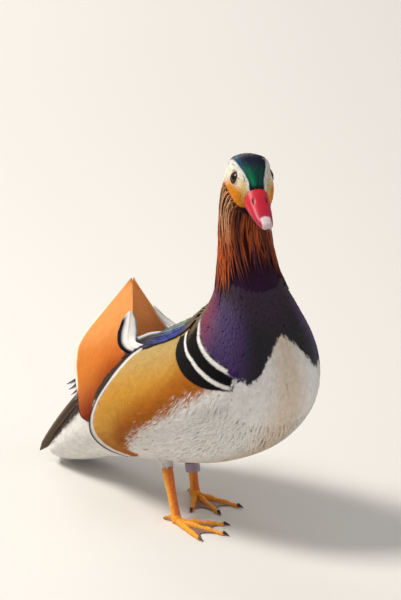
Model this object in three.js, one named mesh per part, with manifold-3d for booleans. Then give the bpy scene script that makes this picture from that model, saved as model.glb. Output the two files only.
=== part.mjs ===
// A mandarin drake, life size, standing on both webbed feet with its head turned to its right.
// Millimetres, +Z up, +X towards the breast, +Y the bird's left. The floor is at z = 0.
import * as THREE from 'three';
import { mergeVertices } from 'three/addons/utils/BufferGeometryUtils.js';
import Module from 'manifold-3d';

const wasm = await Module();
wasm.setup();

// Spacing left between pieces that touch, and the finest step of a smoothed line.
const GAP = 0.3;
const RIGHT = -1;
const LEFT = 1;
const SIDES = [['right', RIGHT], ['left', LEFT]];

// Cross sections of the bird from the end of the undertail coverts to the face. Each is a slanted
// oval between a point on the back and a point on the belly, both [x, z], with its half width.
// level below 1 moves the widest part towards the belly, and square below 1 fills out the sides.
const SECTIONS = [
  { name: 'coverts end', back: [-157, 10], belly: [-156, 5], half: 11, level: 1, square: 0.7 },
  { name: 'coverts', back: [-147, 24], belly: [-145, 4], half: 24, level: 1, square: 0.75 },
  { name: 'coverts middle', back: [-131, 42], belly: [-127, 6.5], half: 30, level: 1, square: 0.85 },
  { name: 'coverts root', back: [-113, 63], belly: [-105, 13], half: 35, level: 1, square: 1 },
  { name: 'tail root', back: [-94, 84], belly: [-82, 21], half: 39, level: 1, square: 1 },
  { name: 'rump', back: [-68, 107], belly: [-50, 29], half: 47, level: 1, square: 1 },
  { name: 'loin', back: [-36, 130], belly: [-14, 37], half: 56, level: 0.97, square: 1 },
  { name: 'middle', back: [-4, 147], belly: [24, 45], half: 60, level: 0.93, square: 1 },
  { name: 'fore', back: [20, 160], belly: [60, 56], half: 60, level: 0.9, square: 1 },
  { name: 'keel', back: [35, 171], belly: [97, 75], half: 59, level: 0.9, square: 1 },
  { name: 'breast', back: [44, 182], belly: [122, 102], half: 55, level: 0.9, square: 1 },
  { name: 'chest', back: [51, 193], belly: [130, 136], half: 46, level: 0.92, square: 1 },
  { name: 'neck root', back: [55, 206], belly: [122, 168], half: 34.5, level: 0.95, square: 1 },
  { name: 'low neck', back: [55, 221], belly: [108, 195], half: 25.5, level: 1, square: 1 },
  { name: 'mid neck', back: [54, 237], belly: [97, 219], half: 21, level: 1, square: 1 },
  { name: 'high neck', back: [52, 254], belly: [92, 240], half: 19.4, level: 1, square: 1 },
  { name: 'throat', back: [51, 270], belly: [92, 257], half: 19, level: 1, square: 0.95 },
  { name: 'nape', back: [53, 285], belly: [93, 265], half: 18.4, level: 0.95, square: 0.9 },
  { name: 'cheek', back: [59, 299], belly: [95, 268], half: 17.6, level: 0.9, square: 0.75 },
  { name: 'crown', back: [73, 308], belly: [97, 270], half: 17.2, level: 0.9, square: 0.62 },
  { name: 'brow', back: [88, 305], belly: [99, 273], half: 14.8, level: 0.9, square: 0.62 },
  { name: 'lores', back: [97, 298], belly: [101, 277], half: 11, level: 0.95, square: 0.85 },
  { name: 'bill root', back: [101, 293], belly: [102, 281], half: 7, level: 1, square: 1 },
  { name: 'under the bill', back: [102.5, 289], belly: [102.5, 286], half: 2, level: 1, square: 1 },
];
const sectionNumber = (name) => SECTIONS.findIndex((section) => section.name === name);
const NECK_CUT = sectionNumber('neck root');
const HEAD_CUT = sectionNumber('nape');
const COLUMNS = 26;

// The head looks to the bird's right and a little down, about a point inside it.
const HEAD_YAW = THREE.MathUtils.degToRad(-22);
const HEAD_NOD = THREE.MathUtils.degToRad(10);
const HEAD_PIVOT = new THREE.Vector3(73, 0, 268);

// Eye and lid
const EYE = { radius: 5.8, proud: 1.7, place: 19.65, angle: 60 };
const LID = { radius: 4.5, thick: 0.75 };

// Bill: side profile and half widths at each step from its root to its nail.
const BILL = [
  { x: 95, top: 296, edge: 281.0, base: 276, half: 9.4 },
  { x: 101, top: 293.5, edge: 279.3, base: 275, half: 9.4 },
  { x: 108, top: 289.5, edge: 277.6, base: 273.8, half: 8.9 },
  { x: 115, top: 285, edge: 276.4, base: 272.9, half: 8.4 },
  { x: 122, top: 281.5, edge: 275.5, base: 272.3, half: 8.0 },
  { x: 128, top: 279.4, edge: 274.6, base: 272.0, half: 6.0 },
  { x: 132, top: 277.2, edge: 273.6, base: 272.0, half: 3.0 },
];
const NOSTRIL = { x: 110, z: 284.6, long: 2.6, high: 1.0 };

// Legs: where the shank meets the foot and the ankle, the foot's turn, and which way is inward.
const FOOT_PLACES = {
  right: { heel: [25, -29], ankle: [8, -26, 41], turn: 12, inward: 1 },
  left: { heel: [-16, 21], ankle: [-20, 19, 41], turn: -13, inward: -1 },
};
const ANKLE_RADIUS = 4.6;
const SHANK_RADIUS = 3.3;
const THIGH_RADIUS = 9.5;
const TOES = [
  { name: 'inner', spread: 30, long: 38 },
  { name: 'middle', spread: 2, long: 47 },
  { name: 'outer', spread: -26, long: 44 },
];
const TOE_RADIUS = 2.7;
const HALLUX_LONG = 11;
const KNUCKLE_TOP = 5;
const WEB_THICKNESS = 1.0;
const CLAW_LONG = 5.5;
// Ring on the left shank: how far below the ankle it begins and ends, and its two radii.
const RING = { from: 13.2, to: 20.4, inner: 4.3, outer: 5.9, sides: 24 };

// Sail feathers: the front and rear edge of the raised orange plume, as the right one runs.
const SAIL_FRONT = [[-50, 52, 62], [-42, 48, 90], [-42, 36, 112], [-50, 26, 126], [-56, 16, 143],
  [-67, 3, 168]];
const SAIL_REAR = [[-58, 52, 56], [-77, 47, 68], [-92, 38, 82], [-104, 30, 99], [-106, 22, 116],
  [-69, 3, 171]];
const SAIL_THICKNESS = 0.9;
const SAIL_BULGE = 5;

// Folded wing on the back: the rows and columns of the torso's grid that its flesh covers, and the
// rows of feathers that grow from it.
const TORSO_ROWS = 2;
const NECK_ROWS = 2.2;
const HEAD_ROWS = 2.6;
const WING = { rear: 12, front: 19, columns: 2, thick: 1.3 };
// The stretch of the back, as places along the sections, that the wings are cut to
const BACK_SPAN = [2, 10.5];
const WING_ROWS = [
  { name: 'scapulars', from: 9.3, to: 7.7, angles: [7, 13.5, 20], swing: 1, half: 5, rise: 3.0 },
  { name: 'long scapulars', from: 8.4, to: 6.6, angles: [6, 13, 20.5], swing: 3, half: 6, rise: 3.5 },
  { name: 'tertials', from: 7.4, to: 5.3, angles: [7, 16, 26], swing: 6, half: 7.5, rise: 4.0 },
];
const WING_STEP = 0.85;
const PRIMARIES = { count: 3, tip: [-123, 21, 72], shorter: 11, higher: 4, half: 7 };
// The white plume that stands before each sail, and its width
const PLUME = [[-14, 26, 133], [-27, 32, 126], [-39, 34, 122], [-47, 29, 128], [-51, 22, 139],
  [-55, 15, 151]];
const PLUME_HALF = 4.6;

// Tail fan: root and tip on the midline, the step between feathers at both, and their width.
const TAIL = { root: [-84, 95], tip: [-163, 7], count: 10, rootStep: 2.8, tipStep: 5.2, half: 6.8,
  crown: 7.0, fall: 1.1 };
const TAIL_COVERTS = 4;
// The tail's flesh: its outline across, as [y, height above the root], and how far it reaches
const TAIL_CORE = { reach: 0.27,
  outline: [[-17, -1.5], [-9, 4], [0, 7.6], [9, 4.6], [17, -1], [0, -5]] };

// Crest feathers along the nape
const CREST = { count: 4, root: 18.9, longest: 13.2, spread: 20, half: 5.4, crown: 5.0, fall: 1.2 };

// Hackles of the neck: the rows they grow in, how many to a row, and where the last ones end in
// front, at the sides and behind.
const HACKLES = { rows: [16.75, 15.75, 14.75], perRow: 11, reach: 2.4, half: 4.9, lift: 2.6,
  endFront: 14.1, endBack: 12.7, sideDrop: 0.85 };

// Free edge of the flank feathers over the wing, as places along and degrees round the body.
const FLANK_EDGE = [[5.3, 148], [4.95, 132], [4.75, 110], [4.9, 92], [5.3, 75], [5.75, 61],
  [6.05, 47], [6.3, 34], [6.8, 25], [7.5, 23], [8.2, 25], [8.9, 30]];
const FLANK = { count: 9, centre: [9.6, 82], share: 0.27, half: 12, lift: 1.2, step: 1.0 };

const VANE_THICKNESS = 0.65;

const radians = THREE.MathUtils.degToRad;
const vector = (x, y, z) => new THREE.Vector3(x, y, z);

// Catmull-Rom value at a fractional place along a list of equal-length number lists.
function smoothAt(list, place) {
  const last = list.length - 1;
  const t = Math.min(Math.max(place, 0), last);
  const i = Math.min(Math.floor(t), last - 1);
  const f = t - i;
  const p1 = list[i];
  const p2 = list[i + 1];
  const p0 = i > 0 ? list[i - 1] : p1.map((v, k) => 2 * v - p2[k]);
  const p3 = i + 2 <= last ? list[i + 2] : p2.map((v, k) => 2 * v - p1[k]);
  return p1.map((v, k) => 0.5 * (2 * v + (p2[k] - p0[k]) * f
    + (2 * p0[k] - 5 * v + 4 * p2[k] - p3[k]) * f * f
    + (3 * v - p0[k] - 3 * p2[k] + p3[k]) * f * f * f));
}

const SECTION_ROWS = SECTIONS.map((s) => [...s.back, ...s.belly, s.half, s.level, s.square]);

// A point of the unturned head or neck, brought into the pose. amount runs from 0 to 1.
function turned(point, yawAmount = 1, nodAmount = 1) {
  return point.clone().sub(HEAD_PIVOT)
    .applyAxisAngle(vector(0, 1, 0), HEAD_NOD * nodAmount)
    .applyAxisAngle(vector(0, 0, 1), HEAD_YAW * yawAmount)
    .add(HEAD_PIVOT);
}

const ramp = (value, from, to) => THREE.MathUtils.smoothstep(value, from, to);

// A point on the bird's outline at a place along the sections. angle is measured round from the
// back, and goes down its right side first.
function rawSkin(place, angle) {
  const [backX, backZ, bellyX, bellyZ, half, level, square] = smoothAt(SECTION_ROWS, place);
  const down = ((1 - Math.cos(angle)) / 2) ** level;
  const side = Math.sin(angle);
  const y = -half * Math.sign(side) * Math.abs(side) ** square;
  const point = vector(backX + (bellyX - backX) * down, y, backZ + (bellyZ - backZ) * down);
  return turned(point, ramp(place, sectionNumber('chest'), sectionNumber('throat')),
    ramp(place, sectionNumber('mid neck'), sectionNumber('nape')));
}

function skinNormal(place, angle) {
  const step = 0.02;
  const last = SECTIONS.length - 1;
  const along = rawSkin(Math.min(place + step, last), angle)
    .sub(rawSkin(Math.max(place - step, 0), angle));
  const round = rawSkin(place, angle + step).sub(rawSkin(place, angle - step));
  return round.cross(along).normalize();
}

function skin(place, angle, lift = 0) {
  const point = rawSkin(place, angle);
  return lift ? point.addScaledVector(skinNormal(place, angle), lift) : point;
}

// Geometry from shared points and triangles.
function meshFrom(points, triangles) {
  const geometry = new THREE.BufferGeometry();
  const flat = points.flatMap((p) => [p.x, p.y, p.z]);
  geometry.setAttribute('position', new THREE.Float32BufferAttribute(flat, 3));
  geometry.setIndex(triangles.flat());
  return geometry;
}

// Closed tube through rings of points, each end closed on its middle point.
function tube(rings) {
  const count = rings[0].length;
  const points = rings.flat();
  const triangles = [];
  for (let i = 0; i < rings.length - 1; i += 1) {
    for (let j = 0; j < count; j += 1) {
      const a = i * count + j;
      const b = i * count + ((j + 1) % count);
      triangles.push([a, b, b + count], [a, b + count, a + count]);
    }
  }
  [0, rings.length - 1].forEach((i) => {
    const middle = rings[i].reduce((sum, p) => sum.add(p), vector(0, 0, 0)).divideScalar(count);
    points.push(middle);
    for (let j = 0; j < count; j += 1) {
      const pair = [i * count + j, i * count + ((j + 1) % count)];
      triangles.push(i ? [...pair, points.length - 1] : [pair[1], pair[0], points.length - 1]);
    }
  });
  return meshFrom(points, triangles);
}

// Closed plate between two grids of points, split into triangles alike on both faces.
function plate(upper, lower) {
  const rows = upper.length;
  const columns = upper[0].length;
  const points = [...upper.flat(), ...lower.flat()];
  const under = rows * columns;
  const at = (i, j) => i * columns + j;
  const triangles = [];
  for (let i = 0; i < rows - 1; i += 1) {
    for (let j = 0; j < columns - 1; j += 1) {
      const [a, b, c, d] = [at(i, j), at(i, j + 1), at(i + 1, j + 1), at(i + 1, j)];
      triangles.push([a, b, c], [a, c, d]);
      triangles.push([under + a, under + c, under + b], [under + a, under + d, under + c]);
    }
  }
  const rim = [];
  for (let j = 0; j < columns - 1; j += 1) rim.push(at(0, j));
  for (let i = 0; i < rows - 1; i += 1) rim.push(at(i, columns - 1));
  for (let j = columns - 1; j > 0; j -= 1) rim.push(at(rows - 1, j));
  for (let i = rows - 1; i > 0; i -= 1) rim.push(at(i, 0));
  rim.forEach((a, k) => {
    const b = rim[(k + 1) % rim.length];
    triangles.push([a, under + a, under + b], [a, under + b, b]);
  });
  return meshFrom(points, triangles);
}

// A feather or lock: a thin plate along a line, with its outward direction and half width as
// functions of the distance t from 0 at the root to 1 at the tip.
function vane({ line, outward, width, thick = VANE_THICKNESS, rows = 4, columns = 2, camber = 0.12,
  grow = 0 }) {
  const upper = [];
  const lower = [];
  const step = 0.01;
  for (let i = 0; i <= rows; i += 1) {
    const t = i / rows;
    const along = line(Math.min(t + step, 1)).sub(line(Math.max(t - step, 0))).normalize();
    const normal = outward(t);
    const across = along.clone().cross(normal).normalize();
    const up = across.clone().cross(along).normalize();
    const half = width(t) + grow;
    const rise = (thick * (1 - 0.35 * t)) / 2 + grow;
    const top = [];
    const bottom = [];
    for (let j = 0; j <= columns; j += 1) {
      const u = (2 * j) / columns - 1;
      const point = line(t).addScaledVector(across, half * u)
        .addScaledVector(up, -camber * half * u * u);
      if (grow) point.addScaledVector(along, i === rows ? grow : 0);
      top.push(point.clone().addScaledVector(up, rise));
      bottom.push(point.clone().addScaledVector(up, -rise));
    }
    upper.push(top);
    lower.push(bottom);
  }
  return solid(plate(upper, lower));
}

// Width of a broad feather with a round end, and of a lock that narrows to a point.
const featherWidth = (half) => (t) => half * Math.max(0.06,
  (0.6 + 0.4 * Math.sin(Math.min(t / 0.5, 1) * Math.PI / 2)) * Math.sqrt(Math.max(1 - t ** 5, 0)));
const lockWidth = (half) => (t) => half * Math.max(0.08, (0.75 + 0.5 * t) * (1 - t ** 2.4));

// A vane that lies along the skin from one [place, degrees] to another. Its root starts sunk in
// what it grows from, comes out over the first quarter, and then rises slowly to its lift at the
// tip, as shingles do.
function skinVane({ from, to, sunk, low, lift, width, ...rest }) {
  const place = (t) => from[0] + (to[0] - from[0]) * t;
  const angle = (t) => radians(from[1] + (to[1] - from[1]) * t);
  const height = (t) => (t < 0.25 ? sunk + ((low - sunk) * t) / 0.25
    : low + ((lift - low) * (t - 0.25)) / 0.75);
  return vane({
    line: (t) => skin(place(t), angle(t), height(t)),
    outward: (t) => skinNormal(place(t), angle(t)),
    width,
    ...rest,
  });
}

// Steady small differences between like feathers.
function scatter(seed) {
  const value = Math.sin(seed * 12.9898) * 43758.5453;
  return 2 * (value - Math.floor(value)) - 1;
}

// Turns a closed geometry into a solid for cutting and joining, with its faces outward.
function solid(geometry) {
  const bare = geometry.clone();
  Object.keys(bare.attributes).filter((key) => key !== 'position')
    .forEach((key) => bare.deleteAttribute(key));
  const merged = mergeVertices(bare, 1e-4);
  const vertProperties = new Float32Array(merged.attributes.position.array);
  const triVerts = new Uint32Array(merged.index.array);
  const read = (i) => vector().fromArray(vertProperties, 3 * i);
  let volume = 0;
  for (let k = 0; k < triVerts.length; k += 3) {
    volume += read(triVerts[k]).dot(read(triVerts[k + 1]).cross(read(triVerts[k + 2])));
  }
  if (volume < 0) {
    for (let k = 0; k < triVerts.length; k += 3) {
      [triVerts[k + 1], triVerts[k + 2]] = [triVerts[k + 2], triVerts[k + 1]];
    }
  }
  return new wasm.Manifold(new wasm.Mesh({ numProp: 3, vertProperties, triVerts }));
}

// One closed body: the pieces joined, the neighbours cut away, and only the largest body kept.
function fuse(pieces, neighbours = []) {
  let body = pieces.slice(1).reduce((sum, piece) => sum.add(piece), pieces[0]);
  body = neighbours.reduce((rest, piece) => rest.subtract(piece), body);
  return body.decompose().sort((a, b) => b.volume() - a.volume())[0];
}

function geometryOf(body) {
  const { vertProperties, triVerts } = body.getMesh();
  const geometry = new THREE.BufferGeometry();
  geometry.setAttribute('position', new THREE.BufferAttribute(vertProperties, 3));
  geometry.setIndex(new THREE.BufferAttribute(triVerts, 1));
  geometry.computeVertexNormals();
  return geometry;
}

const MATERIALS = {
  plumage_body: [0x8a7358, 0.8], plumage_neck: [0x8a3c16, 0.75], plumage_head: [0xe8dcc0, 0.7],
  plumage_wing: [0x26303f, 0.7], plumage_sail: [0xd9822b, 0.7], plumage_tail: [0x4a3d33, 0.8],
  bill: [0xc23346, 0.45], eye: [0x18100b, 0.1], leg: [0xe08a1e, 0.6], claw: [0x2a2320, 0.4],
  ring: [0x9a8796, 0.5],
};
const model = new THREE.Group();

function addNode(name, body, materialName) {
  const [color, roughness] = MATERIALS[materialName];
  const material = new THREE.MeshStandardMaterial({ color, roughness, metalness: 0 });
  const mesh = new THREE.Mesh(geometryOf(body), material);
  mesh.name = name;
  model.add(mesh);
}

// Body lengths: torso, neck and head are cut from one smooth outline.
function length(from, to, rowsPerSection, lift = 0) {
  const rows = Math.round((to - from) * rowsPerSection);
  const rings = [];
  for (let i = 0; i <= rows; i += 1) {
    const place = from + ((to - from) * i) / rows;
    const ring = [];
    for (let j = 0; j < COLUMNS; j += 1) ring.push(skin(place, (2 * Math.PI * j) / COLUMNS, lift));
    rings.push(ring);
  }
  return solid(tube(rings));
}

// How far apart along the sections two cuts lie to leave the gap at the back of the neck.
const CUT_STEP = 0.012;

const ellipsoid = (centre, radii, widthSegments = 16, heightSegments = 12) => {
  const geometry = new THREE.SphereGeometry(1, widthSegments, heightSegments);
  geometry.scale(...radii);
  geometry.translate(centre.x, centre.y, centre.z);
  return geometry;
};

// The eye sits in the side of the head, with proud of it standing out of the skin.
const eyeAngle = (side) => -side * radians(EYE.angle);
const eyeCentre = (side) => skin(EYE.place, eyeAngle(side), EYE.proud - EYE.radius);

function eyeBall(side, grow = 0) {
  return solid(ellipsoid(eyeCentre(side), Array(3).fill(EYE.radius + grow), 12, 8));
}

// The lid is a thin ring round the eye, lying on the skin and a little longer than it is high.
function lid(side) {
  const ring = new THREE.TorusGeometry(LID.radius, LID.thick, 4, 14);
  ring.scale(1.08, 0.96, 1);
  const outward = skinNormal(EYE.place, eyeAngle(side));
  ring.applyQuaternion(new THREE.Quaternion().setFromUnitVectors(vector(0, 0, 1), outward));
  const centre = skin(EYE.place, eyeAngle(side), 0.25);
  ring.translate(centre.x, centre.y, centre.z);
  return solid(ring);
}

// Upper bill: half-round sections between the cutting edge and the ridge.
function upperBillSolid() {
  const steps = 8;
  const rings = BILL.map((step) => {
    const ring = [];
    for (let j = 0; j <= steps; j += 1) {
      const angle = (Math.PI * j) / steps;
      ring.push(turned(vector(step.x, -step.half * Math.cos(angle),
        step.edge + (step.top - step.edge) * Math.sin(angle) ** 0.75)));
    }
    return ring;
  });
  return solid(tube(rings));
}

// Lower bill: the same outline drawn in a little, rounded downwards.
function lowerBill() {
  const steps = 8;
  const inset = 0.8;
  const rings = BILL.slice(0, -1).map((step) => {
    const ring = [];
    for (let j = 0; j <= steps; j += 1) {
      const angle = (Math.PI * j) / steps;
      ring.push(turned(vector(step.x, (step.half - inset) * Math.cos(angle),
        step.edge - GAP - (step.edge - GAP - step.base) * Math.sin(angle) ** 0.7)));
    }
    return ring;
  });
  return solid(tube(rings));
}

function nostril(side) {
  const centre = turned(vector(NOSTRIL.x, side * 5.4, NOSTRIL.z));
  return solid(ellipsoid(centre, [NOSTRIL.long, 1.6, NOSTRIL.high], 8, 4));
}

// Round or oval limb along a line of points with a radius at each.
function limb(points, radii, sides = 12, squash = 1) {
  const rings = points.map((point, i) => {
    const before = points[Math.max(i - 1, 0)];
    const after = points[Math.min(i + 1, points.length - 1)];
    const along = after.clone().sub(before).normalize();
    const across = vector(0, 1, 0).cross(along).normalize();
    const other = along.clone().cross(across);
    const ring = [];
    for (let j = 0; j < sides; j += 1) {
      const angle = (2 * Math.PI * j) / sides;
      ring.push(point.clone().addScaledVector(across, radii[i] * Math.cos(angle))
        .addScaledVector(other, radii[i] * squash * Math.sin(angle)));
    }
    return ring;
  });
  return solid(tube(rings));
}

// Heading of a toe on the floor. The inner toe points towards the other foot.
function toeAngle(place, toe) {
  return radians(place.turn + place.inward * toe.spread);
}

// A toe lies on the floor: its underside is flat at z = 0 and it swells at each joint.
function toePoint(place, toe, distance) {
  const angle = toeAngle(place, toe);
  return vector(place.heel[0] + distance * Math.cos(angle),
    place.heel[1] + distance * Math.sin(angle), 0);
}

function toeSolid(place, toe, grow = 0) {
  const angle = toeAngle(place, toe);
  const across = vector(-Math.sin(angle), Math.cos(angle), 0);
  const steps = 6;
  const rings = [];
  for (let i = 0; i <= steps; i += 1) {
    const t = i / steps;
    const radius = TOE_RADIUS * (1 - 0.42 * t) * (1 + 0.1 * Math.cos(t * 6 * Math.PI)) + grow;
    const centre = toePoint(place, toe, toe.long * t);
    const ring = [];
    for (let j = 0; j <= 4; j += 1) {
      const turn = (Math.PI * j) / 4;
      const point = centre.clone().addScaledVector(across, radius * Math.cos(turn));
      point.z = 1.7 * radius * Math.sin(turn) - grow;
      if (j === 0 || j === 4) point.z = -grow;
      ring.push(point);
    }
    rings.push(ring);
  }
  return solid(tube(rings));
}

// Web between two toes, hollowed along its front edge.
function webSolid(place, toeA, toeB) {
  const rows = 4;
  const upper = [];
  const lower = [];
  for (let i = 0; i <= rows; i += 1) {
    const reach = 0.88 * i / rows;
    const a = toePoint(place, toeA, Math.max(toeA.long * reach, 1));
    const b = toePoint(place, toeB, Math.max(toeB.long * reach, 1));
    const line = [];
    for (let j = 0; j <= 4; j += 1) {
      const t = j / 4;
      const point = a.clone().lerp(b, t);
      const hollow = 1 - 0.22 * reach * Math.sin(Math.PI * t);
      point.x = place.heel[0] + (point.x - place.heel[0]) * hollow;
      point.y = place.heel[1] + (point.y - place.heel[1]) * hollow;
      line.push(point);
    }
    upper.push(line.map((p) => vector(p.x, p.y, 0.4 + WEB_THICKNESS)));
    lower.push(line.map((p) => vector(p.x, p.y, 0.4)));
  }
  return solid(plate(upper, lower));
}

function clawSolid(place, toe) {
  const angle = toeAngle(place, toe);
  const along = vector(Math.cos(angle), Math.sin(angle), 0);
  const start = toe.long - 1.2;
  const rows = [[0, 1.5, 2.1], [0.35, 1.15, 1.9], [0.7, 0.7, 1.3], [1, 0.22, 0.6]];
  const across = vector(-Math.sin(angle), Math.cos(angle), 0);
  const rings = rows.map(([t, radius, height]) => {
    const centre = toePoint(place, toe, start).addScaledVector(along, CLAW_LONG * t);
    const ring = [];
    for (let j = 0; j < 5; j += 1) {
      const turn = (2 * Math.PI * (j + 0.25)) / 5;
      const point = centre.clone().addScaledVector(across, radius * Math.cos(turn));
      point.z = Math.max(height + radius * 1.25 * Math.sin(turn), 0);
      ring.push(point);
    }
    return ring;
  });
  return solid(tube(rings));
}

// Flesh of the folded wing: a low pad on the back, which is later cut to the back's own shape.
function wingPad(side, grow) {
  const upper = [];
  const lower = [];
  for (let i = WING.rear; i <= WING.front; i += 1) {
    const nearEnd = Math.min(i - WING.rear, WING.front - i);
    const top = [];
    const bottom = [];
    for (let j = 0; j <= WING.columns; j += 1) {
      const angle = (-side * 2 * Math.PI * (j + 0.4 * (j === 0))) / COLUMNS;
      const edge = Math.min(1, nearEnd / 2) * Math.min(1, 0.4 + j, 0.4 + WING.columns - j);
      top.push(skin(i / TORSO_ROWS, angle, GAP + 0.6 + WING.thick * edge + grow));
      bottom.push(skin(i / TORSO_ROWS, angle, -GAP));
    }
    upper.push(top);
    lower.push(bottom);
  }
  return solid(plate(upper, lower));
}

// Folded primaries: straight over the rump, each shorter and higher than the one below it.
function primary(side, k, grow) {
  const points = [
    skin(6.7, radians(-side * 14), 0.9 + 0.2 * k),
    skin(6.2, radians(-side * 18), 0.9 + 0.5 * k),
    skin(5.2, radians(-side * 24), 1.3 + 0.8 * k),
    vector(PRIMARIES.tip[0] + PRIMARIES.shorter * k, side * (PRIMARIES.tip[1] + 0.8 * k),
      PRIMARIES.tip[2] + PRIMARIES.higher * k),
  ];
  const curve = new THREE.CatmullRomCurve3(points);
  const free = vector(0.45, side * 0.35, 0.85).normalize();
  const outward = (t) => skinNormal(6.2 - 2 * t, radians(-side * 22)).lerp(free, t).normalize();
  return vane({ line: (t) => curve.getPoint(t), outward, rows: 5, columns: 1, grow,
    width: featherWidth(PRIMARIES.half), camber: 0 });
}

function plume(side, grow) {
  const curve = new THREE.CatmullRomCurve3(PLUME.map(([x, y, z]) => vector(x, side * y, z)));
  const outward = vector(0.62, side * 0.78, 0.2).normalize();
  return vane({ line: (t) => curve.getPoint(t), outward: () => outward, rows: 9, grow,
    width: (t) => PLUME_HALF * Math.max(0.07, (0.55 + 0.9 * t) * (1 - t ** 3)) });
}

function wingPieces(side, grow = 0) {
  const pieces = [wingPad(side, grow)];
  WING_ROWS.forEach((row, r) => {
    row.angles.forEach((degrees, k) => {
      pieces.push(skinVane({ from: [row.from + 0.12 * scatter(r + 7 * k), -side * degrees],
        to: [row.to + 0.15 * scatter(3 * r + k), -side * (degrees + row.swing)],
        sunk: 0.9, low: 2.3 + WING_STEP * (row.angles.length - 1 - k),
        lift: row.rise + WING_STEP * (row.angles.length - 1 - k),
        width: featherWidth(row.half), rows: 4, columns: 1, grow }));
    });
  });
  for (let k = 0; k < PRIMARIES.count; k += 1) pieces.push(primary(side, k, grow));
  pieces.push(plume(side, grow));
  return pieces;
}

// Sail feather: a curved plate between its two edges, bulged outwards.
function sailSolid(side) {
  const rows = 10;
  const columns = 5;
  const middle = [];
  for (let i = 0; i <= rows; i += 1) {
    const place = ((SAIL_FRONT.length - 1) * i) / rows;
    const front = vector(...smoothAt(SAIL_FRONT, place));
    const rear = vector(...smoothAt(SAIL_REAR, place));
    const line = [];
    for (let j = 0; j <= columns; j += 1) {
      const t = j / columns;
      const point = front.clone().lerp(rear, t);
      point.y += SAIL_BULGE * Math.sin(Math.PI * t) * Math.sin((Math.PI * i) / rows);
      point.y *= side;
      line.push(point);
    }
    middle.push(line);
  }
  return solid(thicken(middle, SAIL_THICKNESS));
}

// A grid of points given a thickness along its own normals.
function thicken(grid, thickness) {
  const rows = grid.length;
  const columns = grid[0].length;
  const shift = (amount) => grid.map((line, i) => line.map((point, j) => {
    const down = grid[Math.min(i + 1, rows - 1)][j].clone().sub(grid[Math.max(i - 1, 0)][j]);
    const over = grid[i][Math.min(j + 1, columns - 1)].clone()
      .sub(grid[i][Math.max(j - 1, 0)]);
    return point.clone().addScaledVector(down.cross(over).normalize(), amount);
  }));
  return plate(shift(thickness / 2), shift(-thickness / 2));
}

// Tail fan, roofed: the middle pair lies highest and each next feather lower, wider out and
// shorter. A low core at the root carries the feathers and the coverts above them.
function tailFeather(k, reach, half, extraLift, grow) {
  const away = Math.abs(k);
  const line = (t) => vector(
    TAIL.root[0] + (TAIL.tip[0] - TAIL.root[0] + 0.2 * away * away) * reach * t,
    k * (TAIL.rootStep + (TAIL.tipStep - TAIL.rootStep) * reach * t),
    TAIL.root[1] + (TAIL.tip[1] - TAIL.root[1]) * reach * t + TAIL.crown
      - TAIL.fall * (away + (k < 0 ? 0.5 : 0)) + extraLift);
  const outward = vector(0.74, 0.12 * Math.sign(k), 0.67).normalize();
  return vane({ line, outward: () => outward, width: featherWidth(half), rows: 3, columns: 1,
    camber: 0, grow });
}

function tailPieces() {
  const core = tube([-0.06, TAIL_CORE.reach].map((t) => TAIL_CORE.outline.map(([y, rise]) => vector(
    TAIL.root[0] + (TAIL.tip[0] - TAIL.root[0]) * t, y * (1 + 0.5 * t),
    TAIL.root[1] + (TAIL.tip[1] - TAIL.root[1]) * t + rise * (1 - 0.9 * Math.max(t, 0))))));
  const pieces = [solid(core)];
  const middle = (TAIL.count - 1) / 2;
  for (let k = 0; k < TAIL.count; k += 1) {
    pieces.push(tailFeather(k - middle, 1, TAIL.half, 0, 0));
  }
  for (let k = 0; k < TAIL_COVERTS; k += 1) {
    const spread = (k - (TAIL_COVERTS - 1) / 2) * 1.9;
    pieces.push(tailFeather(spread, 0.52 - 0.03 * Math.abs(spread), 7, 1.1, 0));
  }
  return pieces;
}

// Crest feathers: rooted in the crown, laid over the nape and down behind the neck.
function crestPieces() {
  const pieces = [];
  const middle = (CREST.count - 1) / 2;
  for (let k = 0; k < CREST.count; k += 1) {
    const out = (k - middle) / middle;
    const end = CREST.longest + 2.4 * Math.abs(out) ** 1.3 + 0.15 * scatter(k);
    const lift = CREST.crown - CREST.fall * Math.abs(k - middle);
    pieces.push(skinVane({ from: [CREST.root, CREST.spread * 1.3 * out],
      to: [end, CREST.spread * 0.75 * out], sunk: -3, low: lift - 1.6, lift,
      width: lockWidth(CREST.half), rows: 5, columns: 1, camber: 0 }));
  }
  return pieces;
}

// Hackles hang down round the neck in rows, each row over the roots of the next.
function hackles(grow = 0) {
  const pieces = [];
  HACKLES.rows.forEach((start, r) => {
    for (let k = 0; k < HACKLES.perRow; k += 1) {
      const degrees = (360 * (k + 0.5 * (r % 2))) / HACKLES.perRow + 2 * scatter(r * 31 + k);
      const front = (1 - Math.cos(radians(degrees))) / 2;
      const side = Math.abs(Math.sin(radians(degrees)));
      const edge = HACKLES.endBack + (HACKLES.endFront - HACKLES.endBack) * front ** 2
        - HACKLES.sideDrop * side ** 2;
      const end = Math.max(start - HACKLES.reach + 0.2 * scatter(r * 17 + 5 * k), edge);
      if (start - end > 0.7) {
        pieces.push(skinVane({ from: [start, degrees], to: [end, degrees], sunk: -1.6, low: 0.7,
          lift: HACKLES.lift, width: lockWidth(HACKLES.half), rows: 4, columns: 1, thick: 0.8,
          camber: 0, grow }));
      }
    }
  });
  return pieces;
}

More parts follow.
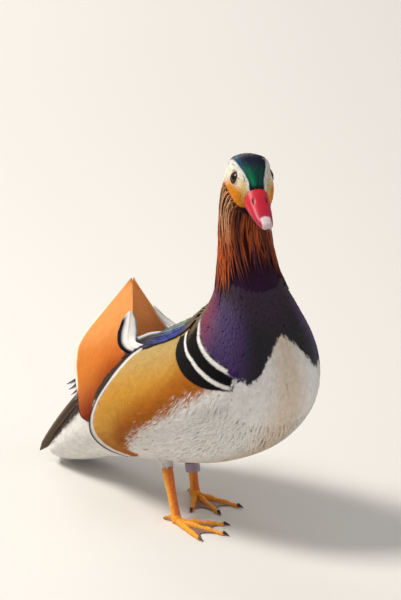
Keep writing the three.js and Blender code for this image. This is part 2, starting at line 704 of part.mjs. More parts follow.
// Flank feathers: their tips make the free edge that covers the lower side of the folded wing.
function flankFeathers(side, grow = 0) {
  const pieces = [];
  for (let k = 0; k < FLANK.count; k += 1) {
    const tip = smoothAt(FLANK_EDGE, ((FLANK_EDGE.length - 1) * k) / (FLANK.count - 1));
    const root = tip.map((value, axis) => value + (FLANK.centre[axis] - value) * FLANK.share);
    pieces.push(skinVane({ from: [root[0], -side * root[1]], to: [tip[0], -side * tip[1]],
      sunk: -2, low: 0.6 + FLANK.step * (k % 2), lift: FLANK.lift + FLANK.step * (k % 2),
      width: featherWidth(FLANK.half), rows: 4, columns: 1, camber: 0, grow }));
  }
  return pieces;
}

// Torso, neck and head
const flanks = (grow) => SIDES.flatMap(([, side]) => flankFeathers(side, grow));
const torsoCore = length(0, NECK_CUT - CUT_STEP, TORSO_ROWS);
const torsoSpace = fuse([length(0, NECK_CUT, TORSO_ROWS, GAP), ...flanks(GAP)]);
const neckCore = length(NECK_CUT + CUT_STEP, HEAD_CUT - CUT_STEP, NECK_ROWS);
const neckSpace = fuse([length(NECK_CUT, HEAD_CUT, NECK_ROWS, GAP), ...hackles(GAP)]);
const headShell = length(HEAD_CUT + CUT_STEP, SECTIONS.length - 1, HEAD_ROWS);
const headSpace = length(HEAD_CUT, SECTIONS.length - 1, HEAD_ROWS, GAP);
const sockets = SIDES.map(([, side]) => eyeBall(side, GAP));
const lids = SIDES.map(([, side]) => lid(side));

addNode('torso', fuse([torsoCore, ...flanks(0)]), 'plumage_body');
addNode('neck', fuse([neckCore, ...hackles()], [headSpace]), 'plumage_neck');
addNode('head', fuse([headShell, ...lids, ...crestPieces()], [...sockets, neckSpace]),
  'plumage_head');
SIDES.forEach(([name, side]) => {
  addNode(`eye_${name}`, eyeBall(side), 'eye');
});
const nostrils = SIDES.map(([, side]) => nostril(side));
addNode('bill_upper', fuse([upperBillSolid()], [headSpace, neckSpace, ...nostrils]), 'bill');
addNode('bill_lower', fuse([lowerBill()], [headSpace, neckSpace]), 'bill');

// Wings, sails and tail
const backSpace = length(...BACK_SPAN, TORSO_ROWS, GAP);
const wingSpaces = SIDES.map(([, side]) => fuse(wingPieces(side, GAP)));
SIDES.forEach(([name, side]) => {
  addNode(`wing_${name}`, fuse(wingPieces(side), [backSpace, ...flankFeathers(side, GAP)]),
    'plumage_wing');
});
SIDES.forEach(([name, side]) => {
  addNode(`sail_${name}`, fuse([sailSolid(side)], [torsoSpace, ...wingSpaces]), 'plumage_sail');
});
addNode('tail', fuse(tailPieces(), [torsoSpace, ...wingSpaces]), 'plumage_tail');

// Thighs, shanks, feet and claws
const floorBlock = new THREE.BoxGeometry(400, 400, 20);
floorBlock.translate(0, 0, -10);

// A leg's straight line from the ankle down to the foot, as a function of the distance along it.
function legLine(place) {
  const ankle = vector(...place.ankle);
  const heel = vector(place.heel[0], place.heel[1], 0);
  const down = heel.clone().sub(ankle).normalize();
  const at = (distance) => ankle.clone().addScaledVector(down, distance);
  return { reach: ankle.distanceTo(heel), at };
}

function thighSolid(place) {
  const { at } = legLine(place);
  return limb([at(-16), at(-4), at(3)], [THIGH_RADIUS, THIGH_RADIUS - 1.5, ANKLE_RADIUS + 1]);
}

function shankSolid(place) {
  const { reach, at } = legLine(place);
  const line = [3 + GAP, 8, 16, 0.6 * reach, reach - 9, reach - KNUCKLE_TOP - GAP].map(at);
  return limb(line, [ANKLE_RADIUS, ANKLE_RADIUS, SHANK_RADIUS + 0.3, SHANK_RADIUS,
    SHANK_RADIUS + 0.2, SHANK_RADIUS + 0.7], 10, 0.82);
}

function ringSolid(place) {
  const { at } = legLine(place);
  const outside = limb([at(RING.from), at(RING.to)], [RING.outer, RING.outer], RING.sides);
  const hole = limb([at(RING.from - 1), at(RING.to + 1)], [RING.inner, RING.inner], RING.sides);
  return fuse([outside], [hole]);
}

function footPieces(place, grow = 0) {
  const { reach, at } = legLine(place);
  const knuckle = limb([at(reach - KNUCKLE_TOP), at(reach - 3), at(reach - 0.8)],
    [0.8, 1.2, 1].map((extra) => SHANK_RADIUS + extra + grow), 8, 0.9);
  const angle = radians(place.turn);
  const back = vector(-Math.cos(angle), -Math.sin(angle), 0);
  const root = at(reach - 4);
  const halluxLine = [root, root.clone().addScaledVector(back, 6).setZ(3.2),
    root.clone().addScaledVector(back, HALLUX_LONG).setZ(1.4)];
  const hallux = limb(halluxLine, [2, 1.6, 1].map((radius) => radius + grow), 6);
  const toes = TOES.map((toe) => toeSolid(place, toe, grow));
  const webs = [webSolid(place, TOES[0], TOES[1]), webSolid(place, TOES[1], TOES[2])];
  return [knuckle, hallux, ...toes, ...webs];
}

SIDES.forEach(([name]) => {
  const place = FOOT_PLACES[name];
  addNode(`thigh_${name}`, fuse([thighSolid(place)], [torsoSpace]), 'plumage_body');
  addNode(`leg_${name}`, fuse([shankSolid(place)], [torsoSpace, ...footPieces(place, GAP)]), 'leg');
  addNode(`foot_${name}`, fuse(footPieces(place), [solid(floorBlock)]), 'leg');
  TOES.forEach((toe) => {
    const claw = fuse([clawSolid(place, toe)], [toeSolid(place, toe, GAP)]);
    addNode(`claw_${name}_${toe.name}`, claw, 'claw');
  });
});
addNode('ring_left', ringSolid(FOOT_PLACES.left), 'ring');

// The origin is on the floor, under the middle of the bird's box.
const box = new THREE.Box3().setFromObject(model);
const middle = box.getCenter(vector(0, 0, 0));
model.position.set(-middle.x, -middle.y, 0);
const bird = new THREE.Group();
bird.add(model);

export default bird;
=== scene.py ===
# %% [markdown]
# # A mandarin drake
# The solids of the bird are already measured and packed. This script loads them as a fixed frame
# and dresses them: a skin, some tens of thousands of small feathers laid like roof tiles, the long
# hackles of the neck, the folded wings with their two orange sails, and the bill, eyes and feet.
# Each shape is a formula worked out on a grid of numbers, so it can be read, changed and rerun.

# %% Load the frame
import bpy
import numpy as np
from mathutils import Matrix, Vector, kdtree


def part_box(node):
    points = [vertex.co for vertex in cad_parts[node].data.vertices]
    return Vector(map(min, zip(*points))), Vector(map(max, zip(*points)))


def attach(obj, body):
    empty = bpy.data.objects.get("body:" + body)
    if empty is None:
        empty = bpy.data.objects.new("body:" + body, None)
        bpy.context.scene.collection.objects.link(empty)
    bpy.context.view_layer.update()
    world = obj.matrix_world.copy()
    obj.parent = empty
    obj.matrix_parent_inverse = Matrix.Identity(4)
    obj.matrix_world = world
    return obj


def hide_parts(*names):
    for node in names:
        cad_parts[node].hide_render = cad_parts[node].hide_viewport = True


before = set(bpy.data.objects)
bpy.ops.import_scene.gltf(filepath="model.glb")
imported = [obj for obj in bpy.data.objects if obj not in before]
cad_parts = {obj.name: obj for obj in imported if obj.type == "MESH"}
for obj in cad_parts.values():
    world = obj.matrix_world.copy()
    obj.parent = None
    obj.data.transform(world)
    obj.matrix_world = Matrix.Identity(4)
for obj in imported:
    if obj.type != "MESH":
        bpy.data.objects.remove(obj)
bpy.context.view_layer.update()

# %% [markdown]
# ## The outline of the body
# A duck's trunk, neck and head are one smooth tube that swells and bends. It can be given as a row
# of slanted ovals, each between a point on the back and a point on the belly. A smooth curve runs
# through their numbers, so two values are enough to find any place on the bird: `place`, which
# counts along the ovals from tail to bill, and `angle`, which goes round from the back. A body
# sculpted by hand would look as good, but feathers couldn't be laid on it by two numbers.

# %% Sections, in millimetres
MM = 0.001
# back x, back z, belly x, belly z, half width, level of the widest part, squareness
SECTIONS = np.array([
    [-157, 10, -156, 5, 11, 1, 0.7],
    [-147, 24, -145, 4, 24, 1, 0.75],
    [-131, 42, -127, 6.5, 30, 1, 0.85],
    [-113, 63, -105, 13, 35, 1, 1],
    [-94, 84, -82, 21, 39, 1, 1],
    [-68, 107, -50, 29, 47, 1, 1],
    [-36, 130, -14, 37, 56, 0.97, 1],
    [-4, 147, 24, 45, 60, 0.93, 1],
    [20, 160, 60, 56, 60, 0.9, 1],
    [35, 171, 97, 75, 59, 0.9, 1],
    [44, 182, 122, 102, 55, 0.9, 1],
    [51, 193, 130, 136, 46, 0.92, 1],
    [55, 206, 122, 168, 34.5, 0.95, 1],
    [55, 221, 108, 195, 25.5, 1, 1],
    [54, 237, 97, 219, 21, 1, 1],
    [52, 254, 92, 240, 19.4, 1, 1],
    [51, 270, 92, 257, 19, 1, 0.95],
    [53, 285, 93, 265, 18.4, 0.95, 0.9],
    [59, 299, 95, 268, 17.6, 0.9, 0.75],
    [73, 308, 97, 270, 17.2, 0.9, 0.62],
    [88, 305, 99, 273, 14.8, 0.9, 0.62],
    [97, 298, 101, 277, 11, 0.95, 0.85],
    [101, 293, 102, 281, 7, 1, 1],
    [102.5, 289, 102.5, 286, 2, 1, 1],
])
LAST_PLACE = len(SECTIONS) - 1
HEAD_PIVOT = np.array([73.0, 0.0, 268.0])
HEAD_YAW = np.radians(-22)
HEAD_NOD = np.radians(10)
YAW_PLACES = (11, 16)
NOD_PLACES = (14, 17)

# %% Smooth curves
def blend_in(value, low, high):
    """0 below low, 1 above high, and an even ease between: 3t^2 - 2t^3."""
    t = np.clip((value - low) / (high - low), 0, 1)
    return t * t * (3 - 2 * t)


def smooth_rows(table, place):
    """The row of the table at a fractional place, on a Catmull-Rom curve through its rows."""
    padded = np.vstack([2 * table[0] - table[1], table, 2 * table[-1] - table[-2]])
    place = np.clip(np.asarray(place, float), 0, len(table) - 1)
    i = np.minimum(place.astype(int), len(table) - 2)
    f = (place - i)[..., None]
    p0, p1, p2, p3 = padded[i], padded[i + 1], padded[i + 2], padded[i + 3]
    return 0.5 * (2 * p1 + (p2 - p0) * f + (2 * p0 - 5 * p1 + 4 * p2 - p3) * f ** 2
                  + (3 * p1 - p0 - 3 * p2 + p3) * f ** 3)

# %% The outline
def turn_head(points, yaw=1.0, nod=1.0):
    """Points of the straight head in millimetres, nodded about Y and then turned about Z."""
    x, y, z = np.moveaxis(points - HEAD_PIVOT, -1, 0)
    dip, turn = HEAD_NOD * nod, HEAD_YAW * yaw
    x, z = x * np.cos(dip) + z * np.sin(dip), z * np.cos(dip) - x * np.sin(dip)
    x, y = x * np.cos(turn) - y * np.sin(turn), x * np.sin(turn) + y * np.cos(turn)
    return np.stack([x, y, z], -1) + HEAD_PIVOT


def outline_mm(place, angle):
    """Down the oval from back to belly by (1 - cos angle) / 2, out to the side by its sine."""
    place, angle = np.broadcast_arrays(np.asarray(place, float), np.asarray(angle, float))
    back_x, back_z, belly_x, belly_z, half, level, square = np.moveaxis(
        smooth_rows(SECTIONS, place), -1, 0)
    down = ((1 - np.cos(angle)) / 2) ** level
    side = np.sin(angle)
    y = -half * np.sign(side) * np.abs(side) ** square
    points = np.stack([back_x + (belly_x - back_x) * down, y,
                       back_z + (belly_z - back_z) * down], -1)
    return turn_head(points, blend_in(place, *YAW_PLACES), blend_in(place, *NOD_PLACES))

# %% Slopes and the way outwards
def unit(vectors):
    """Each vector divided by its own length."""
    return vectors / np.maximum(np.linalg.norm(vectors, axis=-1, keepdims=True), 1e-12)


def slopes(place, angle, step=0.02):
    """How fast the outline moves, in metres, for a unit of place and for a radian of angle."""
    ahead = np.minimum(place + step, LAST_PLACE)
    behind = np.maximum(place - step, 0)
    along = (outline_mm(ahead, angle) - outline_mm(behind, angle)) * MM
    along = along / (ahead - behind)[..., None]
    around = (outline_mm(place, angle + step) - outline_mm(place, angle - step)) * MM / (2 * step)
    return along, around


def outward(place, angle):
    """The direction straight out of the body: across both slopes."""
    along, around = slopes(place, angle)
    return unit(np.cross(around, along))


# %% [markdown]
# ## One origin for both
# The solids were moved so that the middle of their box is at the origin. The eye is at a known
# place on the outline, so the distance between its two positions gives the move.

# %% Origin
# where the eye's middle is, and the ball's radius and how far it stands out, in millimetres
EYE_PLACE = 19.65
EYE_ANGLE = np.radians(60)
EYE_RADIUS = 5.8
EYE_PROUD = 1.7
# which way along Y each side lies
SIDES = {"right": -1, "left": 1}


def eye_centre_mm(side):
    """The eyeball's middle: in from the outline by its radius, less what stands proud."""
    angle = -side * EYE_ANGLE
    place = np.array(EYE_PLACE)
    return outline_mm(place, angle) + outward(place, angle) * (EYE_PROUD - EYE_RADIUS)


eye_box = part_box("eye_right")
ORIGIN = np.array((eye_box[0] + eye_box[1]) / 2) - eye_centre_mm(SIDES["right"]) * MM
ORIGIN[1:] = 0.0
print("solids were moved by", np.round(ORIGIN * 1000, 2), "mm")


def settle(points_mm):
    """Millimetres of the drawing to metres of the frame."""
    return points_mm * MM + ORIGIN


def body(place, angle, lift_mm=0.0):
    """A point on the bird, lifted off its outline."""
    place, angle = np.broadcast_arrays(np.asarray(place, float), np.asarray(angle, float))
    lift = np.asarray(lift_mm, float)[..., None] * MM
    return settle(outline_mm(place, angle)) + outward(place, angle) * lift


# %% [markdown]
# ## Putting numbers into a mesh
# Blender can take whole arrays of points and faces at once, which is thousands of times quicker
# than adding them one by one. Every piece here is made of four-sided faces. Three extra layers ride
# along: `tint`, the colour of each point, `vane`, where the point lies on its own feather, and the
# map `OFBake`, which gives every feather a small patch of its own for baked colour.

# %% Colours
def paint(red, green, blue):
    """A screen colour from 0 to 255 as the linear numbers that light is worked out in."""
    c = np.array([red, green, blue]) / 255
    return np.where(c <= 0.04045, c / 12.92, ((c + 0.055) / 1.055) ** 2.4)


def mixed(first, second, amount):
    """From one colour to another by an amount from 0 to 1 at each point."""
    return first + (second - first) * np.asarray(amount)[..., None]


def opaque(colour):
    """Adds a fourth number, the strength of the flank's fine waves, as nothing."""
    return np.concatenate([colour, np.zeros((*colour.shape[:-1], 1))], -1)

# %% Faces of tubes
def joined(grids):
    """One grid of values, or a list of grids, as one long list."""
    grids = grids if isinstance(grids, list) else [grids]
    return np.concatenate([grid.reshape(-1, grid.shape[-1]) for grid in grids])


def tube_quads(rows, columns, looped=False):
    """Faces of a tube: each row of points joined to the next, and each ring closed on itself.
    Where it is looped, its last row joins the first again."""
    i, j = np.meshgrid(np.arange(rows - (not looped)), np.arange(columns), indexing="ij")
    n, k = (i + 1) % rows, (j + 1) % columns
    faces = np.stack([i * columns + j, i * columns + k, n * columns + k, n * columns + j], -1)
    return faces.reshape(-1, 4)


def cap_quads(start, columns):
    """Faces that close a ring of an even number of points, as the rungs of a ladder."""
    k = np.arange(columns // 2 - 1)
    return start + np.stack([k, k + 1, columns - 2 - k, columns - 1 - k], -1)


def closed_tube(rows, columns):
    """Faces of a tube with both ends closed. The two caps face opposite ways."""
    return np.vstack([tube_quads(rows, columns), cap_quads(0, columns)[:, ::-1],
                      cap_quads((rows - 1) * columns, columns)])


def closed_tubes(grids):
    """Faces of a list of closed tubes, each counted on from the one before."""
    sizes = [grid.shape[0] * grid.shape[1] for grid in grids]
    starts = np.cumsum([0, *sizes[:-1]])
    return np.concatenate([start + closed_tube(*grid.shape[:2])
                           for start, grid in zip(starts, grids)])

# %% From arrays to a piece
def put_in_scene(name, data):
    """An object that holds the mesh, lamp or camera, linked to the scene."""
    thing = bpy.data.objects.new(name, data)
    bpy.context.scene.collection.objects.link(thing)
    return thing


def add_layer(mesh, name, kind, field, values):
    """A layer with a value for each point of the mesh."""
    layer = mesh.attributes.new(name, kind, "POINT")
    layer.data.foreach_set(field, joined(values).astype(np.float32).ravel())


def make_piece(name, grids, material, stands_for=(), tint=None, vane=None, bake=None,
               normals=None, quads=None):
    """A mesh from a list of grids, each a closed tube unless faces are given, riding on the
    bird's one body. Its faces are turned round if they enclose a negative volume."""
    points = joined(grids)
    quads = closed_tubes(grids) if quads is None else quads.reshape(-1, 4)
    middle = points.mean(0)
    a, b, c, d = (points[quads[:, k]] - middle for k in range(4))
    volume = (np.cross(a, b) * c).sum() + (np.cross(a, c) * d).sum()
    if volume < 0:
        quads = quads[:, ::-1]
    mesh = bpy.data.meshes.new(name)
    mesh.vertices.add(len(points))
    mesh.vertices.foreach_set("co", points.astype(np.float32).ravel())
    mesh.loops.add(quads.size)
    mesh.loops.foreach_set("vertex_index", quads.astype(np.int32).ravel())
    mesh.polygons.add(len(quads))
    mesh.polygons.foreach_set("loop_start", np.arange(0, quads.size, 4, dtype=np.int32))
    mesh.update(calc_edges=True)
    mesh.shade_smooth()
    if tint is not None:
        tint = joined(tint)
        tint = tint if tint.shape[-1] == 4 else opaque(tint)
        add_layer(mesh, "tint", "FLOAT_COLOR", "color", tint)
    if vane is not None:
        add_layer(mesh, "vane", "FLOAT_VECTOR", "vector", vane)
    if bake is not None:
        spots = joined(bake)[quads.ravel()]
        layer = mesh.uv_layers.new(name="OFBake")
        layer.data.foreach_set("uv", spots.astype(np.float32).ravel())
    if normals is not None:
        mesh.normals_split_custom_set_from_vertices(unit(joined(normals)).tolist())
    piece = put_in_scene(name, mesh)
    mesh.materials.append(material)
    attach(piece, "root")
    if stands_for:
        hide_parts(*stands_for)
    print(f"{name}: {2 * len(quads)} triangles")


# %% [markdown]
# ## Materials
# A feather is a shaft with rows of fine barbs on both sides. At life size they show as a silky
# grain that slants away from the shaft, so the grain is worked out from the `vane` layer and not
# from the world: it turns with every feather. The layer holds millimetres across and along.
# The fine dark waves of the flank are a second pattern, and the fourth number of `tint` tells
# how strongly a point has them.

# %% Nodes
def plug(tree, value, socket):
    """Links an input to another socket, or sets it to a plain value."""
    if isinstance(value, bpy.types.NodeSocket):
        tree.links.new(value, socket)
    else:
        socket.default_value = value


def math_node(tree, operation, *values):
    """A Math node: each value is a socket or a plain number."""
    node = tree.nodes.new("ShaderNodeMath")
    node.operation = operation
    for value, socket in zip(values, node.inputs):
        plug(tree, value, socket)
    return node.outputs[0]


def new_material(name, roughness, **sockets):
    """A material with its plain numbers set on the shader itself."""
    material = bpy.data.materials.new(name)
    material.use_nodes = True
    tree = material.node_tree
    shader = tree.nodes["Principled BSDF"]
    shader.inputs["Roughness"].default_value = roughness
    for socket, value in sockets.items():
        shader.inputs[socket.replace("_", " ")].default_value = value
    return material, tree, shader


def layer_node(tree, name):
    """The outputs of a node that reads one of the mesh's own layers."""
    node = tree.nodes.new("ShaderNodeAttribute")
    node.attribute_name = name
    return node.outputs


def noise_node(tree, scale, detail=2.0):
    """Cloudy noise on the piece's own coordinates, in clouds to a metre."""
    node = tree.nodes.new("ShaderNodeTexNoise")
    node.inputs["Scale"].default_value = scale
    node.inputs["Detail"].default_value = detail
    tree.links.new(tree.nodes.new("ShaderNodeTexCoord").outputs["Object"], node.inputs["Vector"])
    return node.outputs["Fac"]


def grey_node(tree, number):
    """A grey whose three parts are the same number."""
    node = tree.nodes.new("ShaderNodeCombineXYZ")
    for socket in node.inputs:
        tree.links.new(number, socket)
    return node.outputs[0]


def mix_colour(tree, blend, amount, first, second):
    """A Mix node for colours. Colours may be sockets or plain values."""
    node = tree.nodes.new("ShaderNodeMix")
    node.data_type = "RGBA"
    node.blend_type = blend
    for value, number in ((amount, 0), (first, 6), (second, 7)):
        plug(tree, value, node.inputs[number])
    return node.outputs[2]


def bump(tree, shader, height, strength, distance):
    """Raises the surface by a pattern, for the light alone."""
    node = tree.nodes.new("ShaderNodeBump")
    node.inputs["Strength"].default_value = strength
    node.inputs["Distance"].default_value = distance
    tree.links.new(height, node.inputs["Height"])
    tree.links.new(node.outputs[0], shader.inputs["Normal"])


# %% Feather materials
BARB_SPACING = 0.55
BARB_WOBBLE = 3.0
BARB_BUMP = (0.25, 0.00015)
WAVE_SPACING = 1.5
WAVE_WOBBLE = 9.0
# a dark wave is drawn where its sine is above this
WAVE_LEVEL = 0.35
# clouds to a metre: they bend the barbs, bend the waves and shade the coat
BARB_NOISE = 900.0
WAVE_NOISE = 350.0
COAT_NOISE = 160.0


def feather_material(name, roughness, barb=0.25, waves=0.0, cloudy=0.3, **sockets):
    """Tint, broken up by cloudy noise, with slanting barbs and, where asked, fine dark waves."""
    material, tree, shader = new_material(name, roughness, **sockets)
    tint = layer_node(tree, "tint")
    parts = tree.nodes.new("ShaderNodeSeparateXYZ")
    tree.links.new(layer_node(tree, "vane")["Vector"], parts.inputs[0])
    across, along, _ = parts.outputs
    slant = math_node(tree, "SUBTRACT", along, math_node(tree, "ABSOLUTE", across))
    wobble = math_node(tree, "MULTIPLY", noise_node(tree, BARB_NOISE), BARB_WOBBLE)
    phase = math_node(tree, "MULTIPLY_ADD", slant, 2 * np.pi / BARB_SPACING, wobble)
    barbs = math_node(tree, "SINE", phase)
    shade = math_node(tree, "MULTIPLY_ADD", barbs, 0.5 * barb, 1 - 0.5 * barb)
    cloud = math_node(tree, "MULTIPLY_ADD", noise_node(tree, COAT_NOISE, 3.0), cloudy,
                      1 - cloudy / 2)
    grey = math_node(tree, "MULTIPLY", shade, cloud)
    if waves:
        wobble = math_node(tree, "MULTIPLY", noise_node(tree, WAVE_NOISE), WAVE_WOBBLE)
        phase = math_node(tree, "MULTIPLY_ADD", along, 2 * np.pi / WAVE_SPACING, wobble)
        lines = math_node(tree, "GREATER_THAN", math_node(tree, "SINE", phase), WAVE_LEVEL)
        dark = math_node(tree, "MULTIPLY", math_node(tree, "MULTIPLY", lines, waves),
                         tint["Alpha"])
        grey = math_node(tree, "MULTIPLY", grey, math_node(tree, "SUBTRACT", 1.0, dark))
    colour = mix_colour(tree, "MULTIPLY", 1.0, tint["Color"], grey_node(tree, grey))
    tree.links.new(colour, shader.inputs["Base Color"])
    bump(tree, shader, barbs, *BARB_BUMP)
    return material


coat_finish = feather_material("body_feathers", 0.8, barb=0.22, waves=0.33,
                               Specular_IOR_Level=0.1, Sheen_Weight=0.02)
breast_finish = feather_material("breast_feathers", 0.48, barb=0.16, cloudy=0.14,
                                 Specular_IOR_Level=0.3)
hackle_finish = feather_material("hackle_strands", 0.6, barb=0.1, Specular_IOR_Level=0.2)
gloss_finish = feather_material("glossy_feathers", 0.42, barb=0.3, Specular_IOR_Level=0.3)
crown_finish = feather_material("crown_feathers", 0.4, barb=0.2, Specular_IOR_Level=0.14)
sail_finish = feather_material("sail_vanes", 0.7, barb=0.16, Specular_IOR_Level=0.15,
                               Emission_Strength=0.14)
# A thin vane lets through some of the light behind it, which a faint glow of its colour stands for.
sail_shader = sail_finish.node_tree.nodes["Principled BSDF"]
sail_colour = sail_shader.inputs["Base Color"].links[0].from_socket
sail_finish.node_tree.links.new(sail_colour, sail_shader.inputs["Emission Color"])
print("feather materials:", [m.name for m in bpy.data.materials])

# %% [markdown]
# ## Markings
# The drake's pattern, together with some painted shade and painted reflected light, is drawn once,
# as a function of place and angle, and both the skin and the coat ask it for their colours, so a
# gap between feathers never shows a wrong colour. Each border is a line of places and angles. A
# little `ragged` noise shifts it for each feather, which gives the torn edge where the dark breast
# meets the white belly. A painted image would do too, but lines of numbers stay sharp at any size
# and are easy to move.

# %% Borders of the markings, as places along and degrees from the middle of the back
FLANK_REAR = ([15, 23, 34, 47, 61, 75, 92, 110, 132, 150],
              [8.0, 6.9, 6.25, 5.98, 5.68, 5.25, 4.87, 4.72, 4.95, 5.4])
FLANK_LOW = ([5.0, 5.6, 6.3, 7.0, 8.0, 9.0, 9.9, 10.5],
             [150, 141, 120, 107, 99, 94, 101, 112])
BARS_REAR = ([20, 31, 49, 69, 91, 111, 125], [8.35, 8.45, 8.74, 9.24, 9.8, 10.3, 10.55])
REAR_BAR = ([20, 29, 46, 72, 89, 113, 125], [8.75, 8.88, 9.36, 9.97, 10.2, 10.46, 10.6])
FRONT_BAR = ([20, 40, 52, 62, 85, 107, 125], [9.9, 10.45, 10.54, 10.5, 10.65, 10.82, 10.9])
BREAST_EDGE = ([105, 112, 135, 143, 149, 160, 171, 180],
               [10.7, 10.78, 10.88, 11.05, 11.35, 11.75, 12.05, 12.15])
BROW = ([13, 16, 17, 18, 19, 19.6, 20.2, 20.9, 21.6, 22.2, 23],
        [22, 27, 31, 34, 31, 28, 26, 28, 43, 62, 80])
FACE_LOW = ([16.9, 17.5, 18.1, 18.6, 19.0, 19.4, 19.8, 20.3, 20.8, 21.4],
            [50, 64, 79, 94, 107, 119, 129, 140, 152, 172])

# %% Colours of the coat
WHITE = paint(236, 232, 228)
# warm light reflected up onto the underside of the belly, painted in
BELLY_PAINTED_BOUNCE = paint(224, 206, 186)
FLANK_TOP = paint(192, 162, 100)
FLANK_MIDDLE = paint(206, 148, 52)
FLANK_DEEP = paint(176, 98, 16)
FLANK_RIM = paint(226, 220, 214)
INK = paint(10, 8, 10)
VIOLET = paint(60, 36, 88)
MAROON = paint(122, 50, 76)
# the breast's dark purple in painted shade, used on its front and underside
BREAST_PURPLE_IN_SHADE = paint(20, 13, 22)
OLIVE = paint(104, 88, 60)
RUMP_BROWN = paint(58, 44, 36)
NECK_DARK = paint(74, 26, 12)
NECK_PURPLE = paint(44, 20, 44)
CREAM = paint(250, 240, 220)
BUFF = paint(240, 206, 140)
GOLD = paint(236, 146, 36)
CROWN_NAVY = paint(16, 18, 44)
CROWN_GREEN = paint(10, 128, 88)
CROWN_TEAL = paint(16, 84, 112)

# %% Markings of the trunk
def degrees_from_back(angle):
    """Unsigned degrees from the middle of the back, and signed ones, positive on the right."""
    signed = (np.degrees(angle) + 180) % 360 - 180
    return np.abs(signed), signed


def trunk_markings(place, side, ragged):
    """Belly first, then flank, bars, breast and back, each painted over the one before."""
    # the lowest part of the belly is warmed by painted reflected light
    colour = mixed(WHITE, BELLY_PAINTED_BOUNCE, blend_in(side, 150, 178) * blend_in(place, 4, 7))
    # Dark rump brown. Its reach past the flank's rim, up to place 6.9, is painted shade: feathers
    # that show between the rim and the sail read as the shadow line there.
    rump = (1 - blend_in(side + 1.5 * ragged, 68, 84)) * (1 - blend_in(place, 6.2, 6.9))
    colour = mixed(colour, RUMP_BROWN, rump)
    from_rim = place - np.interp(side, *FLANK_REAR)
    above_edge = np.interp(place, *FLANK_LOW) + 2.2 * ragged - side
    flank = blend_in(from_rim, -0.02, 0.03) * blend_in(above_edge, -5, 7)
    tone = mixed(FLANK_TOP, FLANK_MIDDLE, blend_in(side, 34, 74))
    deep = blend_in(np.interp(place, *FLANK_LOW) - side, 46, 4)
    tone = mixed(tone, FLANK_DEEP, blend_in(deep, 0.0, 0.9))
    tone = mixed(FLANK_RIM, tone, blend_in(from_rim, 0.03, 0.12))
    colour = mixed(colour, tone, flank)
    waves = flank * blend_in(from_rim, 0.1, 0.4)
    line = blend_in(from_rim, -0.09, -0.05) * (1 - blend_in(from_rim, -0.02, 0.03))
    colour = mixed(colour, INK, line * blend_in(side, 15, 30) * (1 - blend_in(side, 132, 146)))
    scale = 18 + 20 * (1 - np.cos(np.radians(side))) / 2
    bars = blend_in((place - np.interp(side, *BARS_REAR)) * scale + 0.12 * ragged, -0.4, 0.4)
    bars = bars * (1 - blend_in(side + 2 * ragged, 118, 124)) * (place < 12)
    colour = mixed(colour, INK, bars)
    waves = waves * (1 - bars)
    for bar, half in ((REAR_BAR, 1.75), (FRONT_BAR, 1.9)):
        off = np.abs(place - np.interp(side, *bar)) * scale
        stripe = (1 - blend_in(off, half - 0.5, half + 0.4)) * (1 - blend_in(side, 117, 123))
        colour = mixed(colour, WHITE, stripe * blend_in(side, 22, 30))
    past_bar = (place - np.interp(side, *FRONT_BAR)) * scale - 3.0
    past_edge = (place - np.interp(side, *BREAST_EDGE)) * scale + 1.1 * ragged
    breast = np.where(side < 112, blend_in(past_bar, -0.6, 0.6), blend_in(past_edge, -1.5, 1.5))
    purple = mixed(MAROON, VIOLET, blend_in(side, 50, 96))
    # the front and underside of the breast turn near black: painted shade over its own dark purple
    purple = mixed(purple, BREAST_PURPLE_IN_SHADE, blend_in(side, 112, 146))
    colour = mixed(colour, purple, breast)
    back = 1 - blend_in(side, 22, 34)
    colour = mixed(colour, RUMP_BROWN, back * blend_in(place, 4, 5))
    mantle = (1 - blend_in(side + 3 * ragged, 40, 50)) * blend_in(place, 9.2, 9.9)
    colour = mixed(colour, OLIVE, mantle * (1 - blend_in(place, 11.9, 12.6)))
    return colour, waves

# %% Markings of the head
def head_markings(place, side, signed):
    """Crown above the brow line, a white band below it, buff and gold face, dark throat."""
    below_brow = side - np.interp(place, *BROW)
    face = mixed(CREAM, BUFF, blend_in(place, 19.9, 20.9) * blend_in(below_brow, 8, 22))
    golden = blend_in(side, 62, 88) * blend_in(place, 16.6, 17.6)
    face = mixed(face, GOLD, golden * (1 - 0.8 * blend_in(place, 20.4, 21.6)))
    face = mixed(face, WHITE, blend_in(place, 21.5, 21.9) * blend_in(side, 70, 95))
    band = 1 - blend_in(below_brow, 7, 11)
    face = mixed(face, WHITE, band)
    below_face = side - np.interp(place, *FACE_LOW)
    colour = mixed(face, NECK_DARK, blend_in(below_face, 2, 7))
    chin = blend_in(side, 138, 156) * blend_in(place, 17, 18.5)
    colour = mixed(colour, INK, chin * 0.8)
    green = np.exp(-((signed - 12) / 12) ** 2) + 0.35 * np.exp(-((signed + 16) / 9) ** 2)
    crown = mixed(CROWN_NAVY, CROWN_GREEN, np.clip(green * blend_in(place, 19.4, 20.8), 0, 1))
    crown = mixed(crown, CROWN_TEAL, 0.8 * np.exp(-((signed - 24) / 7) ** 2)
                  * (1 - blend_in(place, 19.6, 20.6)))
    crown = mixed(crown, INK, blend_in(place, 21.3, 22.0))
    return mixed(crown, colour, blend_in(below_brow, -1.2, 1.2))


